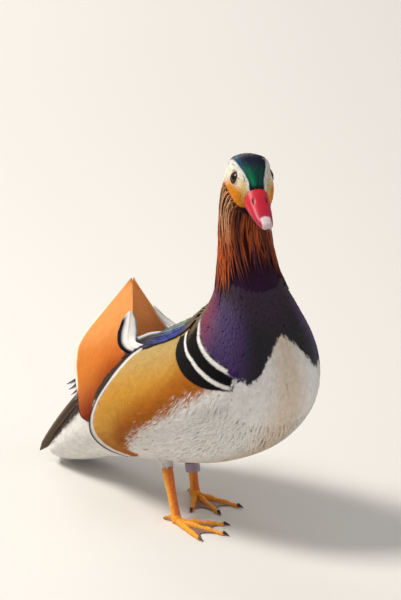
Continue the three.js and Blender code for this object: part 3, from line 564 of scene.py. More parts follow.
def markings(place, angle, ragged=0.0):
    """Colour of the bird at a place and angle, with the strength of the flank's fine waves."""
    place, angle, ragged = np.broadcast_arrays(place, angle, np.asarray(ragged, float))
    side, signed = degrees_from_back(angle)
    colour, waves = trunk_markings(place, side, ragged)
    colour = mixed(colour, NECK_PURPLE, blend_in(place, 12.0, 13.0) * blend_in(side, 10, 40))
    colour = mixed(colour, NECK_DARK, blend_in(place, 13.6, 15.0) * blend_in(side, 10, 40))
    colour = mixed(colour, head_markings(place, side, signed), blend_in(place, 16.2, 17.2))
    return np.concatenate([colour, waves[..., None]], -1)


# %% [markdown]
# ## Skin
# Under the feathers lies one closed skin, from the tip of the undertail to the bill. It keeps a
# coat's depth inside the solids, so that the feathers that stand on it end where the solids do.
# The tops of the legs are feathered too, so two short cones belong to the same piece.

# %% Skin
SKIN_ROWS = 420
SKIN_COLUMNS = 120
COAT_DEPTH = 1.5
FACE_DEPTH = 0.7
# where the heel and the ankle are, which way the foot points, and its inner side
LEGS = {
    "right": {"heel": np.array([25, -29, 0.0]), "ankle": np.array([8, -26, 41.0]),
              "turn": 12, "inward": 1},
    "left": {"heel": np.array([-16, 21, 0.0]), "ankle": np.array([-20, 19, 41.0]),
             "turn": -13, "inward": -1},
}
# how far down from the ankle the feathered cone starts and ends
CONE_SPAN = (-16, -3)
CONE_ROWS = 16


def coat_depth(place):
    """How deep the skin lies, in millimetres: the coat thins out towards the face."""
    return COAT_DEPTH + (FACE_DEPTH - COAT_DEPTH) * blend_in(place, 15, 18)

# %% Limbs
def leg_frame(leg):
    """Ankle and heel, and the unit vectors down the shank and in two ways across it."""
    ankle, heel = leg["ankle"], leg["heel"]
    down = unit(heel - ankle)
    across = unit(np.cross(np.array([0.0, 1.0, 0.0]), down))
    return ankle, heel, down, across, np.cross(down, across)


def full_turn(count):
    """Evenly spaced angles once round, without the first again at the end."""
    return 2 * np.pi * np.arange(count) / count


def round_limb(centres, radii, columns, across, other, squash=1.0):
    """Rings about a line of centres: cosine of the turn across, sine the other way."""
    turn = full_turn(columns)[:, None]
    ring = np.cos(turn) * across + squash * np.sin(turn) * other
    return centres[:, None] + radii[:, None, None] * ring


def cone_radius(travel):
    """Wide where it leaves the belly, with a hollow flare down to the bare leg."""
    return 4.6 + 7.0 * np.clip((-2 - travel) / 14, 0, 1) ** 1.6


def thigh(leg):
    """The feathered top of the leg: a cone that narrows down to the ankle."""
    ankle, _, down, across, other = leg_frame(leg)
    travel = np.linspace(*CONE_SPAN, CONE_ROWS)
    centres = ankle + down * travel[:, None]
    return settle(round_limb(centres, cone_radius(travel), SKIN_COLUMNS, across, other))

# %% Make the skin
place = np.linspace(0, LAST_PLACE, SKIN_ROWS)[:, None]
angle = full_turn(SKIN_COLUMNS)[None]
skin_grids = [body(place, angle, -coat_depth(place + 0 * angle)), *map(thigh, LEGS.values())]
cone_tint = np.broadcast_to([*WHITE, 0.0], (CONE_ROWS, SKIN_COLUMNS, 4))
corner = np.stack(np.meshgrid(np.linspace(0, 0.1, SKIN_COLUMNS),
                              np.linspace(0.9, 0.99, CONE_ROWS)), -1)
trunk_bake = np.stack(np.broadcast_arrays(angle / (2 * np.pi), place / LAST_PLACE), -1)
make_piece("skin", skin_grids, coat_finish,
           ("torso", "neck", "head", "thigh_right", "thigh_left"),
           [markings(place, angle), cone_tint, cone_tint], 0 * joined(skin_grids),
           [trunk_bake, corner, corner + [0.12, 0.0]])

# %% [markdown]
# ## A feather
# Every feather on the bird is the same kind of shape: a line, a flat vane along it that widens and
# narrows, and a ridge where the shaft runs. As a mesh it is a flattened tube. Thousands of them
# can be worked out at once, because one array holds all their lines. Body feathers get four points
# a ring, and the large ones of wing and tail twelve, for a rounder vane with a thin shaft.
# Blender's hair could draw them faster, but only real faces can be exported with the bird.

# %% Feather shapes
SMALL_RING = np.array([[-1, 0], [0, 1], [1, 0], [0, -0.6]], float)
STRAND_RING = np.array([[-1, 0], [-0.4, 0.75], [0, 1], [0.4, 0.75], [1, 0], [0, -0.6]], float)
LARGE_RING = np.array([[-1, 0], [-0.66, 0.4], [-0.33, 0.45], [-0.07, 0.5], [0, 1.15], [0.07, 0.5],
                       [0.33, 0.45], [0.66, 0.4], [1, 0], [0.5, -0.45], [0, -0.5],
                       [-0.5, -0.45]])
PATCH = 0.003


def round_tip(t):
    """Half width of a body feather: a narrow root, broad from the middle, a rounded end."""
    return (0.45 + 0.55 * np.sin(np.minimum(t / 0.6, 1) * np.pi / 2)) * np.sqrt(
        np.maximum(1 - t ** 4, 0.004))


def pointed_tip(t):
    """Half width of a hackle: widest in its first half, then drawn out to a point."""
    return (0.7 + 0.6 * t) * np.maximum(1 - t ** 1.8, 0.04)

# %% Many feathers at once
def shells(lines, facing, halves, ring, thick, camber):
    """Points of many feathers at once, from their lines, outward directions and half widths.
    Each ring is set across the line, raised by the thickness and drooped at its edges."""
    along = unit(np.gradient(lines, axis=1))
    across = unit(np.cross(along, facing))
    up = np.cross(across, along)
    width = halves[..., None] * ring[:, 0]
    rise = thick * ring[:, 1] - camber * halves[..., None] * ring[:, 0] ** 2
    return (lines[:, :, None] + across[:, :, None] * width[..., None]
            + up[:, :, None] * rise[..., None])


def over_rings(ring, *rows):
    """Numbers of each row of each feather, repeated round its ring, and then the share of the
    way out to its edge, from -1 to 1."""
    return np.broadcast_arrays(*(row[..., None] for row in rows), ring[:, 0])


def feather_piece(name, lines, facing, wide, lengths, tint, roots, finish, stands_for=(),
                  ring=LARGE_RING, thick=0.5, camber=0.1, soft=None):
    """A piece of many feathers, with the vane layer in millimetres across and along, and with a
    patch of the map for each. `soft` leans the shading from the feather's own shape to the way
    it faces, so that the coat looks smooth."""
    count, rows = wide.shape
    facing = np.broadcast_to(facing, lines.shape)
    points = shells(lines, facing, wide * MM, ring, thick * MM, camber)
    first = np.arange(count) * rows * len(ring)
    quads = closed_tube(rows, len(ring)) + first[:, None, None]
    t = np.linspace(0, 1, rows)[:, None]
    vane = np.zeros(points.shape)
    vane[..., 0] = wide[..., None] * ring[:, 0]
    vane[..., 1] = t * lengths[:, None, None]
    patch = np.stack(np.broadcast_arrays(0.5 * ring[:, 0], t - 0.5), -1) * PATCH
    bake = roots[:, None, None] * 0.99 + 0.005 + patch
    normals = None
    if soft is not None:
        own = unit(points - lines[:, :, None] + 1e-9)
        normals = own * (1 - soft) + facing[:, :, None] * soft
    make_piece(name, points, finish, stands_for, tint, vane, bake, normals, quads)


# %% [markdown]
# ## Where feathers grow
# Real feathers stand in an even but not regular pattern. Many random points are thrown on the
# outline, as thickly everywhere, and then they are taken one by one, and each clears away all
# those that are closer than a feather's spacing. What stays is evenly spread with no visible rows,
# as a plain grid would show.

# %% Roots
THROWN = 1260000
draw = np.random.default_rng(7)
thrown_place = draw.random(THROWN) * LAST_PLACE
thrown_angle = draw.random(THROWN) * 2 * np.pi
along, around = slopes(thrown_place, thrown_angle)
area = np.linalg.norm(np.cross(along, around), axis=-1)
kept = draw.random(THROWN) < area / np.quantile(area, 0.995)
thrown_place, thrown_angle = thrown_place[kept], thrown_angle[kept]
thrown_points = settle(outline_mm(thrown_place, thrown_angle))
thrown_side, thrown_signed = degrees_from_back(thrown_angle)
HALVES = {"right": thrown_signed > 0, "left": thrown_signed <= 0}
print("points thrown on the outline:", len(thrown_place))

# %% Even spacing
def spread(wanted, spacing_mm):
    """Indices of the wanted points that keep the spacing from one another."""
    index = np.flatnonzero(wanted)
    points = thrown_points[index].tolist()
    tree = kdtree.KDTree(len(points))
    for i, point in enumerate(points):
        tree.insert(point, i)
    tree.balance()
    free = np.ones(len(points), bool)
    chosen = []
    for i, point in enumerate(points):
        if free[i]:
            chosen.append(i)
            free[[found[1] for found in tree.find_range(point, spacing_mm * MM)]] = False
    return index[chosen]

# %% Lines along the coat
# no line goes faster than this near the tube's ends, where the slopes shrink to nothing
FASTEST = 400
# how near to the tube's ends a line may come, as a place
ENDS = 0.01


def in_numbers(going, along, around):
    """How fast place and angle change for a metre in a direction: it is split into a share of
    each slope by the two equations of the surface."""
    aa, ab, bb = (np.sum(x * y, -1) for x, y in ((along, along), (along, around), (around, around)))
    ga, gb = np.sum(going * along, -1), np.sum(going * around, -1)
    size = np.maximum(aa * bb - ab ** 2, 1e-12)
    return (np.clip((ga * bb - gb * ab) / size, -FASTEST, FASTEST),
            np.clip((gb * aa - ga * ab) / size, -FASTEST, FASTEST))


def walk(place, angle, heading, lengths_mm, rows):
    """Lines on the outline that start at place and angle. Each step goes an equal distance back
    along the body, turned down by the heading, and the slopes there turn it into numbers."""
    places, angles = [place], [angle]
    step = lengths_mm * MM / (rows - 1)
    for _ in range(rows - 1):
        along, around = slopes(places[-1], angles[-1])
        back = -unit(along)
        out = unit(np.cross(around, along))
        down = np.cross(out, back)
        down = down * np.sign(np.sum(down * around, -1) * np.sin(angles[-1]))[:, None]
        going = back * np.cos(heading)[:, None] + down * np.sin(heading)[:, None]
        place_rate, angle_rate = in_numbers(going, along, around)
        places.append(np.clip(places[-1] + step * place_rate, ENDS, LAST_PLACE - ENDS))
        angles.append(angles[-1] + step * angle_rate)
    return np.stack(places, 1), np.stack(angles, 1)


def to_the_sides(centres, places, angles, wide_mm, ring):
    """Place and angle at each point of each ring, so that a border can cross a feather."""
    along, around = slopes(places, angles)
    across = unit(np.cross(np.gradient(centres, axis=1), np.cross(around, along)))
    place_rate, angle_rate = in_numbers(across, along, around)
    out = (wide_mm * MM)[..., None] * ring[:, 0]
    return (places[..., None] + place_rate[..., None] * out,
            angles[..., None] + angle_rate[..., None] * out)

# %% Coat
# ranges of chance: shares of the length and half width, degrees and bend of the line, and shade
LENGTH_RANGE = (0.85, 1.15)
WIDTH_RANGE = (0.85, 1.1)
HEADING_SPREAD = 5
BEND_SPREAD = 0.12
SHADE_RANGE = (0.92, 1.06)


def coat(name, wanted, spacing, long, half, heading=0.0, lift=(-1.2, 0.25), finish=coat_finish,
         ring=SMALL_RING, tip=round_tip, rows=5, thick=0.25, seed=1,
         ragged=1.0, soft=0.8, colouring=None, bend=0.0, tuck=0.0):
    """Feathers on the outline. Each line steps back along the body, turned down by `heading`
    degrees, rises from the skin to its lift and may tuck its tip in. All in millimetres."""
    chosen = spread(wanted, spacing)
    rng = np.random.default_rng(seed)
    count = len(chosen)
    place, angle = thrown_place[chosen], thrown_angle[chosen]
    value = lambda v: np.broadcast_to(v(place, angle) if callable(v) else v, count)
    lengths = value(long) * rng.uniform(*LENGTH_RANGE, count)
    halves = value(half) * rng.uniform(*WIDTH_RANGE, count)
    head = np.radians(value(heading) + rng.normal(0, HEADING_SPREAD, count))
    head = head + bend * rng.normal(0, BEND_SPREAD, count)
    t = np.linspace(0, 1, rows)[None]
    places, angles = walk(place, angle, head, lengths, rows)
    low, high = value(lift[0])[:, None], value(lift[1])[:, None]
    rise = low + (high - low) * blend_in(t, -0.15, 0.75) - tuck * t ** 4
    lines = body(places, angles, rise)
    wide = halves[:, None] * tip(t)
    shift = rng.normal(0, 1, (count, 1, 1)) * ragged
    if colouring is None:
        tint = markings(*to_the_sides(lines, places, angles, wide, ring), shift)
    else:
        tint = colouring(*over_rings(ring, places, angles, t), rng)
    tint = np.array(tint)
    tint[..., :3] *= rng.uniform(*SHADE_RANGE, (count, 1, 1, 1))
    roots = np.stack([(angle / (2 * np.pi)) % 1, place / LAST_PLACE], -1)
    feather_piece(name, lines, outward(places, angles), wide, lengths, tint, roots, finish,
                  ring=ring, thick=thick, soft=soft)


# %% [markdown]
# ## The coat of the trunk
# The trunk is feathered in pieces that differ in size and lie: short and tight on the breast, long
# and smooth on the flank, loose and soft on the belly, and longer still under the tail. They lie
# flat, one over the next, so the bird keeps its smooth outline. One coat for all would be simpler,
# but a bird shows by the size of its feathers where each part of it begins.

# %% Where each coat grows
place, side = thrown_place, thrown_side
low_flank = np.interp(place, *FLANK_LOW)
rear_flank = np.interp(side, *FLANK_REAR)
is_flank = (place > rear_flank + 0.3) & (side > 16) & (side < low_flank + 4) & (place < 10.7)
is_bar = (place > np.interp(side, *BARS_REAR) - 0.12) & (place < np.interp(side, *FRONT_BAR) + 0.25)
is_bar &= (side > 18) & (side < 124) & (place > 8.3)
is_flank &= ~is_bar
is_breast = (place > 10.1) & (place < 13.4) & ~is_flank & ~is_bar
is_undertail = (place < 5.6) & (place > 0.05) & ~is_flank
elsewhere = ~is_flank & ~is_breast & ~is_undertail & ~is_bar & (place < 11)
is_belly = elsewhere & (side > 80)
is_back = elsewhere & (side <= 80)

# %% Trunk coats
# after a coat's name and where it grows come the spacing, length and half width of its feathers
coat("coat_bars", is_bar, 1.5, 6.0, 1.3, lift=(-1.2, 0.1), thick=0.15, soft=0.92, ragged=0.5,
     rows=8, seed=18)
for number, (side_name, half_bird) in enumerate(HALVES.items()):
    coat(f"coat_breast_{side_name}", is_breast & half_bird, 1.9, 7.5, 1.8, finish=breast_finish,
         lift=(-1.2, -0.05), thick=0.1, soft=0.96, seed=11 + number)
for number, (side_name, half_bird) in enumerate(HALVES.items()):
    coat(f"coat_flank_{side_name}", is_flank & half_bird, 2.3, 9.5, 2.3, lift=(-1.2, 0.1),
         thick=0.15, soft=0.93, rows=7, seed=13 + number)
coat("coat_belly", is_belly, 2.2, 10.0, 1.6, lift=(-1.2, 0.2), seed=15, tip=pointed_tip,
     thick=0.2, bend=0.5, soft=0.84)
is_border = (np.abs(side - low_flank) < 13) & (place > 5.4) & (place < 10.3) & ~is_bar
coat("coat_border", is_border, 1.45, 13.0, 0.55, heading=18, lift=(-0.9, 0.35), tip=pointed_tip,
     ragged=1.8, rows=7, thick=0.12, soft=0.9, bend=1.2, seed=19)
coat("coat_back", is_back, 2.8, 9.0, 2.5, seed=16)
coat("coat_undertail", is_undertail, 3.0, 13.0, 2.6, lift=(-1.3, 0.2), seed=17, bend=0.3)

# %% [markdown]
# ## Legs: the feathered cones
# The coat ends on the top of each leg in small white feathers that point down the shank. They are
# laid on the cone that the skin already has, in rings that overlap, because the cone isn't a part
# of the outline that the other coats are spread on.

# %% Thigh feathers
CONE_RINGS = 14
CONE_RING_FEATHERS = 34
CONE_FEATHER_ROWS = 5
CONE_FEATHER_HALF = 1.3
# the first and last ring, and the shortest and longest feather
CONE_RING_SPAN = (-15, -5)
CONE_LENGTHS = (4.5, 7.0)


def thigh_coat(name, leg, seed):
    """Rings of feathers on the cone, each pointing down and a little out at its tip."""
    ankle, _, down, across, other = leg_frame(leg)
    rng = np.random.default_rng(seed)
    start = np.repeat(np.linspace(*CONE_RING_SPAN, CONE_RINGS), CONE_RING_FEATHERS)
    turn = np.tile(full_turn(CONE_RING_FEATHERS), CONE_RINGS)
    turn = turn + rng.normal(0, 0.1, len(turn))
    t = np.linspace(0, 1, CONE_FEATHER_ROWS)[None]
    lengths = rng.uniform(*CONE_LENGTHS, len(turn))
    travel = start[:, None] + lengths[:, None] * t
    outwards = np.cos(turn)[:, None] * across + np.sin(turn)[:, None] * other
    radius = cone_radius(travel) + (-0.6 + 1.1 * t)
    lines = settle(ankle + travel[..., None] * down + radius[..., None] * outwards[:, None])
    wide = CONE_FEATHER_HALF * round_tip(t) * np.ones((len(turn), 1))
    shade = rng.uniform(0.85, 1.03, (len(turn), 1, 1, 1))
    tint = WHITE * shade * np.ones((*wide.shape, len(SMALL_RING), 1))
    low, high = CONE_SPAN
    roots = np.stack([0.05 * turn / np.pi, 0.9 + 0.09 * (start - low) / (high - low)], -1)
    feather_piece(name, lines, outwards[:, None], wide, lengths, tint, roots, coat_finish,
                  ring=SMALL_RING, thick=0.3)


for number, (side_name, leg) in enumerate(LEGS.items()):
    thigh_coat(f"coat_thigh_{side_name}", leg, 61 + number)

# %% [markdown]
# ## The free edge of the flank
# The last feathers of the flank are longer than the rest and end in a clean edge that overlaps the
# folded wing. They grow outwards from a point far down on the side, so they fan like a shell. Each
# has a pale tip and, past it, a thin black border, which is a row of small feathers of its own:
# painted on the large ones it would show as steps. Where every feather's place matters, as here
# and in the wings, they are laid one by one from a start to an end and not by chance.

# %% Feathers laid from one place to another
# the share of its length after which a laid feather has come out, and how deep it starts
EMERGED = 0.25
SUNK = -1


def laid_piece(name, starts, ends, halves, heights, colouring, finish, rows=12,
               ring=LARGE_RING, thick=0.45, camber=0.12, soft=None):
    """Feathers laid on the outline from start to end, each given as place and signed degrees.
    They start sunk, come out over the first quarter and rise evenly to the last height."""
    number, t = np.arange(len(starts))[:, None], np.linspace(0, 1, rows)[None]
    places = starts[:, :1] + (ends[:, :1] - starts[:, :1]) * t
    angles = np.radians(starts[:, 1:] + (ends[:, 1:] - starts[:, 1:]) * t)
    low, high = heights[:, :1], heights[:, 1:]
    rise = np.where(t < EMERGED, SUNK + (low - SUNK) * t / EMERGED,
                    low + (high - low) * (t - EMERGED) / (1 - EMERGED))
    lines = body(places, angles, rise)
    wide = halves[:, None] * round_tip(t)
    lengths = np.linalg.norm(lines[:, -1] - lines[:, 0], axis=-1) / MM
    tint = colouring(*over_rings(ring, number, t, places, np.degrees(angles)))
    roots = np.stack([(angles[:, 0] / (2 * np.pi)) % 1, places[:, 0] / LAST_PLACE], -1)
    feather_piece(name, lines, outward(places, angles), wide, lengths, tint, roots, finish,
                  ring=ring, thick=thick, camber=camber, soft=soft)


# %% Rim and border of the flank
RIM_FEATHERS = 44
RIM_HALF = 5.6
RIM_HEIGHTS = np.array([[0.3, 1.0]])
# every second feather of the rim lies this much higher
RIM_STEP = 0.08
BORDER_FEATHERS = 330
BORDER_HALF = 1.1
BORDER_HEIGHTS = [[1.2, 1.5]]
# places and degrees: the point the feathers fan out from, and the edge where they end
FLANK_CENTRE = np.array([9.6, 82.0])
FLANK_EDGE = np.array([[5.3, 148], [4.95, 132], [4.75, 110], [4.9, 92], [5.3, 75], [5.75, 61],
                       [6.05, 47], [6.3, 34], [6.8, 25], [7.5, 22], [8.2, 22], [8.9, 24]])
# shares of the way in to the centre at which the rim, and the border's two ends, lie
RIM_ROOT = 0.2
BORDER_ROOT = 0.055
BORDER_TIP = -0.012


def rim_colour(number, t, place, degrees, u):
    """Flank gold, deeper lower down, paler at the very tip."""
    side = np.abs(degrees)
    tone = mixed(FLANK_TOP, FLANK_MIDDLE, blend_in(side, 34, 74))
    tone = mixed(tone, FLANK_DEEP, blend_in(side, 96, 140))
    tone = mixed(tone, FLANK_RIM, blend_in(t, 0.86, 0.97))
    return np.concatenate([tone, (1 - blend_in(t, 0.7, 0.85))[..., None]], -1)


def border_colour(number, t, place, degrees, u):
    """A pale grey line with a black one outside it."""
    return mixed(FLANK_RIM, INK, blend_in(t, 0.6, 0.72))


def edge_points(count, share):
    """Points evenly along the edge, moved by a share of the way in to the centre."""
    edge = smooth_rows(FLANK_EDGE, np.linspace(0, len(FLANK_EDGE) - 1, count))
    return edge + (FLANK_CENTRE - edge) * share


for side_name, side_sign in SIDES.items():
    turned = np.array([1, -side_sign])
    step = RIM_STEP * (np.arange(RIM_FEATHERS) % 2)[:, None]
    laid_piece(f"flank_rim_{side_name}", edge_points(RIM_FEATHERS, RIM_ROOT) * turned,
               edge_points(RIM_FEATHERS, 0) * turned, np.full(RIM_FEATHERS, RIM_HALF),
               RIM_HEIGHTS + step, rim_colour, coat_finish,
               camber=0.08, rows=10, thick=0.1, soft=1.0)
    laid_piece(f"flank_border_{side_name}", edge_points(BORDER_FEATHERS, BORDER_ROOT) * turned,
               edge_points(BORDER_FEATHERS, BORDER_TIP) * turned,
               np.full(BORDER_FEATHERS, BORDER_HALF), np.tile(BORDER_HEIGHTS, (BORDER_FEATHERS, 1)),
               border_colour, coat_finish, ring=SMALL_RING, rows=7, thick=0.3,
               camber=0.02)

# %% [markdown]
# ## Hackles
# The ruff of the neck is made of long silky strands. Each is a narrow lock, widest near its root
# and drawn out to a point, with a pale shaft between dark edges, which gives the fine stripes of
# the photograph. Six points a ring leave room for a separate colour along the shaft. A striped
# surface would be lighter, but its lower edge would be smooth where the real ruff is a fringe.

# %% Neck
HACKLE_END = ([0, 60, 82, 99, 122, 143, 162, 180], [13.2, 12.6, 12.2, 12.6, 13.2, 13.7, 14.0, 14.3])
RUST = paint(198, 84, 28)
RUST_BRIGHT = paint(222, 106, 34)
RUST_DARK = paint(96, 32, 14)
SHAFT_PALE = paint(255, 200, 148)
THROAT_DARK = paint(50, 16, 12)


def hackle_colour(place, angle, t, u, rng):
    """Pale shafts at the top, bright rust lower down, dark maroon in front, partly the throat's own
    colour and partly painted shade under the cheek, and a slow fade to the colour of the breast
    where the strands end."""
    side = degrees_from_back(angle)[0]
    strand = rng.uniform(0, 1, (place.shape[0], 1, 1)) + 0 * place
    upper = blend_in(place, 14.1, 16.2) * (1 - blend_in(side, 118, 138))
    centre = mixed(mixed(RUST, RUST_BRIGHT, strand), SHAFT_PALE, upper)
    # The front of the neck is darkened: partly its own dark maroon, partly painted shade under the
    # cheek. A strip down the middle of the lower neck is left bright.
    front = blend_in(side, 122, 146)
    brighter = np.exp(-((side - 168) / 13) ** 2) * (1 - blend_in(place, 16.2, 18.2))
    dark = front * (1 - brighter)
    centre = mixed(centre, mixed(THROAT_DARK, RUST, 0.35 * strand), dark)
    edge = mixed(mixed(RUST_DARK, THROAT_DARK, 0.45), THROAT_DARK, dark)
    shaft = (1 - blend_in(np.abs(u), 0.0, 0.42)) * (1 - 0.75 * (strand < 0.45) * upper)
    colour = mixed(edge, centre, np.clip(shaft + 0.3 * strand * (1 - upper), 0, 1))
    root = (1 - blend_in(t, 0.04, 0.16)) * blend_in(place, 16.9, 17.4) * (1 - front)
    colour = mixed(colour, 0.9 * GOLD, 0.8 * root)
    above_end = place - np.interp(side, *HACKLE_END)
    fade = 1 - blend_in(above_end + 0.8 * (strand - 0.5), -0.5, 1.1)
    return mixed(colour, NECK_PURPLE, fade)


def hackle_length(place, angle):
    """Long low on the neck, and shortened by an even ease towards the cheek."""
    return 33 - 12 * blend_in(place, 17.5, 19.6)


def hackle_lift(place, angle):
    """Tips stand off low on the neck and lie flat by the face, unevenly by a fast sine."""
    return 1.0 - 0.7 * blend_in(place, 15.6, 17.4) + 0.25 * np.sin(1000 * place + 700 * angle)


def hackle_root(place, angle):
    """Roots lie deep, and less so by the face, whose own feathers are shorter."""
    return -0.9 + 0.5 * blend_in(place, 16.8, 17.6)


# %% Hackles
place, side = thrown_place, thrown_side
brow = np.interp(place, *BROW)
below_face = side - np.interp(place, *FACE_LOW)
is_hackle = (place > np.interp(side, *HACKLE_END) + 1.5) & (place < 19.6)
is_hackle &= np.where(place > 17.2, below_face > -6, side > brow + 8)
for number, (side_name, half_bird) in enumerate(HALVES.items()):
    coat(f"hackles_{side_name}", is_hackle & half_bird, 3.0, hackle_length, 1.4,
         lift=(hackle_root, hackle_lift), tuck=0.9, finish=hackle_finish,
         ring=STRAND_RING, tip=pointed_tip, rows=7, thick=0.5, seed=21 + number, soft=0.35,
         colouring=hackle_colour, bend=0.6)

# %% [markdown]
# ## Face and crown
# The head has the smallest feathers, a few millimetres long and set very close, so that its bands
# of colour keep sharp edges. The crown's are a little longer and glossier. Both leave the eye free.
# The crown's fuller corners are made by lifting its feathers, so the skin below stays simple.

# %% Head coat
CLEAR_OF_EYE = 6.3


def crown_lift(place, angle):
    """The crown is fullest along its two corners: a bell over the angle, eased out in front."""
    corner = np.exp(-((degrees_from_back(angle)[0] - 40) / 17) ** 2)
    along = blend_in(place, 17.8, 19.2) * (1 - blend_in(place, 20.2, 21.4))
    return -0.3 + 2.4 * along * corner


def crown_root(place, angle):
    """A little under the crown's own surface."""
    return crown_lift(place, angle) - 0.8


def face_lift(place, angle):
    """The face follows the crown's corner where it meets it, and else lies on the outline."""
    return np.maximum(0.85 * crown_lift(place, angle) - 0.1, 0.0)


def face_root(place, angle):
    """A little under the face's own surface."""
    return face_lift(place, angle) - 0.75

# %% Face and crown coats
eye_middles = [settle(eye_centre_mm(side_sign)) for side_sign in SIDES.values()]
from_eye = np.min([np.linalg.norm(thrown_points - eye, axis=-1) for eye in eye_middles], axis=0)
is_crown = (place > 18.2) & (side < brow + 1) & (place < 22.9)
is_chin = (place >= 19.3) & (side > 132) & (place < 22.4)
is_face = (place > 17.0) & (side > brow - 1) & (below_face < 0.5) & (place < 22.5) | is_chin
is_face &= (from_eye > CLEAR_OF_EYE * MM) & ~is_crown
coat("coat_face", is_face, 1.15, 3.8, 0.8, lift=(face_root, face_lift),
     rows=4, thick=0.2, seed=31, ragged=0.3, soft=0.8)
coat("coat_crown", is_crown, 1.3, 5.2, 0.85, lift=(crown_root, crown_lift), finish=crown_finish,
     rows=5, thick=0.25, seed=32, ragged=0.3, soft=0.7)

# %% [markdown]
# ## Crest
# Long soft feathers grow from the back of the crown and fall over the nape, with the white bands
# of both sides ending beside them. The photograph doesn't show them, so their copper and green
# follow the species.

# %% Crest
COPPER = paint(120, 44, 26)
CREST_GREEN = paint(14, 70, 62)


def crest_colour(place, angle, t, u, rng):
    """Crown colours at the root, copper in the middle, dark green at the tip."""
    side, signed = degrees_from_back(angle)
    root = head_markings(np.maximum(place, 18.4), np.minimum(side, 20), signed)
    colour = mixed(root, COPPER, blend_in(t, 0.15, 0.5))
    return mixed(colour, CREST_GREEN, blend_in(t, 0.65, 0.95))


def white_lock_colour(place, angle, t, u, rng):
    """White with a slightly warm tip."""
    return mixed(WHITE, CREAM, t)


is_crest = (place > 16.9) & (place < 18.9) & (side < 17)
is_white_lock = (place > 16.6) & (place < 18.6) & (side > brow - 2) & (side < brow + 11)
coat("crest", is_crest, 1.7, 46.0, 1.7, lift=(-0.6, 3.2), finish=gloss_finish,
     ring=STRAND_RING, tip=pointed_tip, rows=10, thick=0.6, seed=33,
     soft=0.3, colouring=crest_colour, bend=0.2)
coat("crest_white", is_white_lock, 1.9, 30.0, 1.2, lift=(-0.6, 0.7),
     ring=STRAND_RING, tip=pointed_tip, rows=8, thick=0.4, seed=34, soft=0.4,
     colouring=white_lock_colour, bend=0.3)

# %% [markdown]
# ## Folded wings
# A folded wing shows only its upper layers: scapulars that spill over from the mantle, long
# tertials behind them, and the tips of the primaries that cross over the rump. They are laid on
# the back's outline in rows, every row higher than the one behind it. Only the primaries leave the
# body, so their lines are drawn freely, from three places on the back to a tip in the air.

# %% Scapulars and tertials
SILVER_GREEN = paint(122, 146, 122)
ROYAL_BLUE = paint(34, 54, 150)
NAVY = paint(16, 18, 46)
# from place, to place, first and last degrees, feathers, half width, height at the tip
WING_ROWS = (
    (7.5, 5.35, 5, 27, 6, 6.0, 2.6),
    (8.0, 6.1, 5, 26, 7, 5.4, 3.2),
    (8.6, 6.8, 5, 26, 7, 4.8, 3.7),
    (9.1, 7.5, 5, 26, 8, 4.2, 4.1),
    (9.5, 8.3, 5, 27, 9, 3.5, 4.3),
    (9.9, 8.9, 4, 28, 10, 3.0, 4.2),
)
# turns from one feather to the next, as a share of a whole one: never twice the same shade
SHADE_TURN = 0.618


def wing_colour(number, t, place, degrees, u):
    """Green and silver by the spine, royal blue lower, navy and black towards the rear."""
    side = np.abs(degrees)
    colour = mixed(SILVER_GREEN, ROYAL_BLUE, blend_in(side, 15, 23))
    dark = 1 - blend_in(place, 6.3, 7.6)
    colour = mixed(colour, NAVY, np.clip(dark + 0.55 * blend_in(np.abs(u), 0.2, 0.8), 0, 1))
    colour = mixed(colour, OLIVE, blend_in(place + 0.04 * (20 - side), 7.9, 8.8) * 0.92)
    return colour * (0.7 + 0.6 * ((number * SHADE_TURN) % 1))[..., None]


def wing_feathers(side_name, side_sign):
    """Every row is spread from the spine to its lowest feather, a little unevenly by a sine, and
    lies lower the further out it is."""
    starts, ends, halves, heights = [], [], [], []
    for first, last, near, far, count, half, height in WING_ROWS:
        degrees = np.linspace(near, far, count)
        wiggle = 0.12 * np.sin(np.arange(count) * 2.4 + first)
        starts.append(np.stack([first + wiggle, -side_sign * degrees], -1))
        ends.append(np.stack([last + wiggle, -side_sign * (degrees * 1.06 + 1)], -1))
        halves.append(np.full(count, half))
        fall = height * (1 - 0.45 * blend_in(degrees, 12, 28))
        heights.append(np.stack([0.7 * fall, fall], -1))
    laid_piece(f"wing_feathers_{side_name}", np.vstack(starts), np.vstack(ends),
               np.concatenate(halves), np.vstack(heights), wing_colour, gloss_finish,
               camber=0.1, rows=14)


# %% Primaries
FLIGHT_BROWN = paint(66, 58, 54)
SILVER = paint(226, 230, 236)
PRIMARIES = 5
PRIMARY_ROWS = 22
PRIMARY_HALF = 5.6
PRIMARY_LONG = 90.0


def primary_lines(side_sign):
    """Lines of the primaries, straight over the rump, each shorter and lower than the last."""
    k = np.arange(PRIMARIES)[:, None]
    lift = np.concatenate([0.9 + 0.2 * k, 0.9 + 0.5 * k, 1.3 + 0.8 * k], 1)
    on_body = body(np.array([6.7, 6.2, 5.2]), np.radians(-side_sign * np.array([14, 18, 24.0])),
                   lift)
    tip = np.concatenate([-127 + 4.0 * k, side_sign * (21 + 0.8 * k), 72 - 3.2 * k], 1)
    knots = np.concatenate([on_body, settle(tip)[:, None]], 1)
    return np.stack([smooth_rows(one, np.linspace(0, 3, PRIMARY_ROWS)) for one in knots])


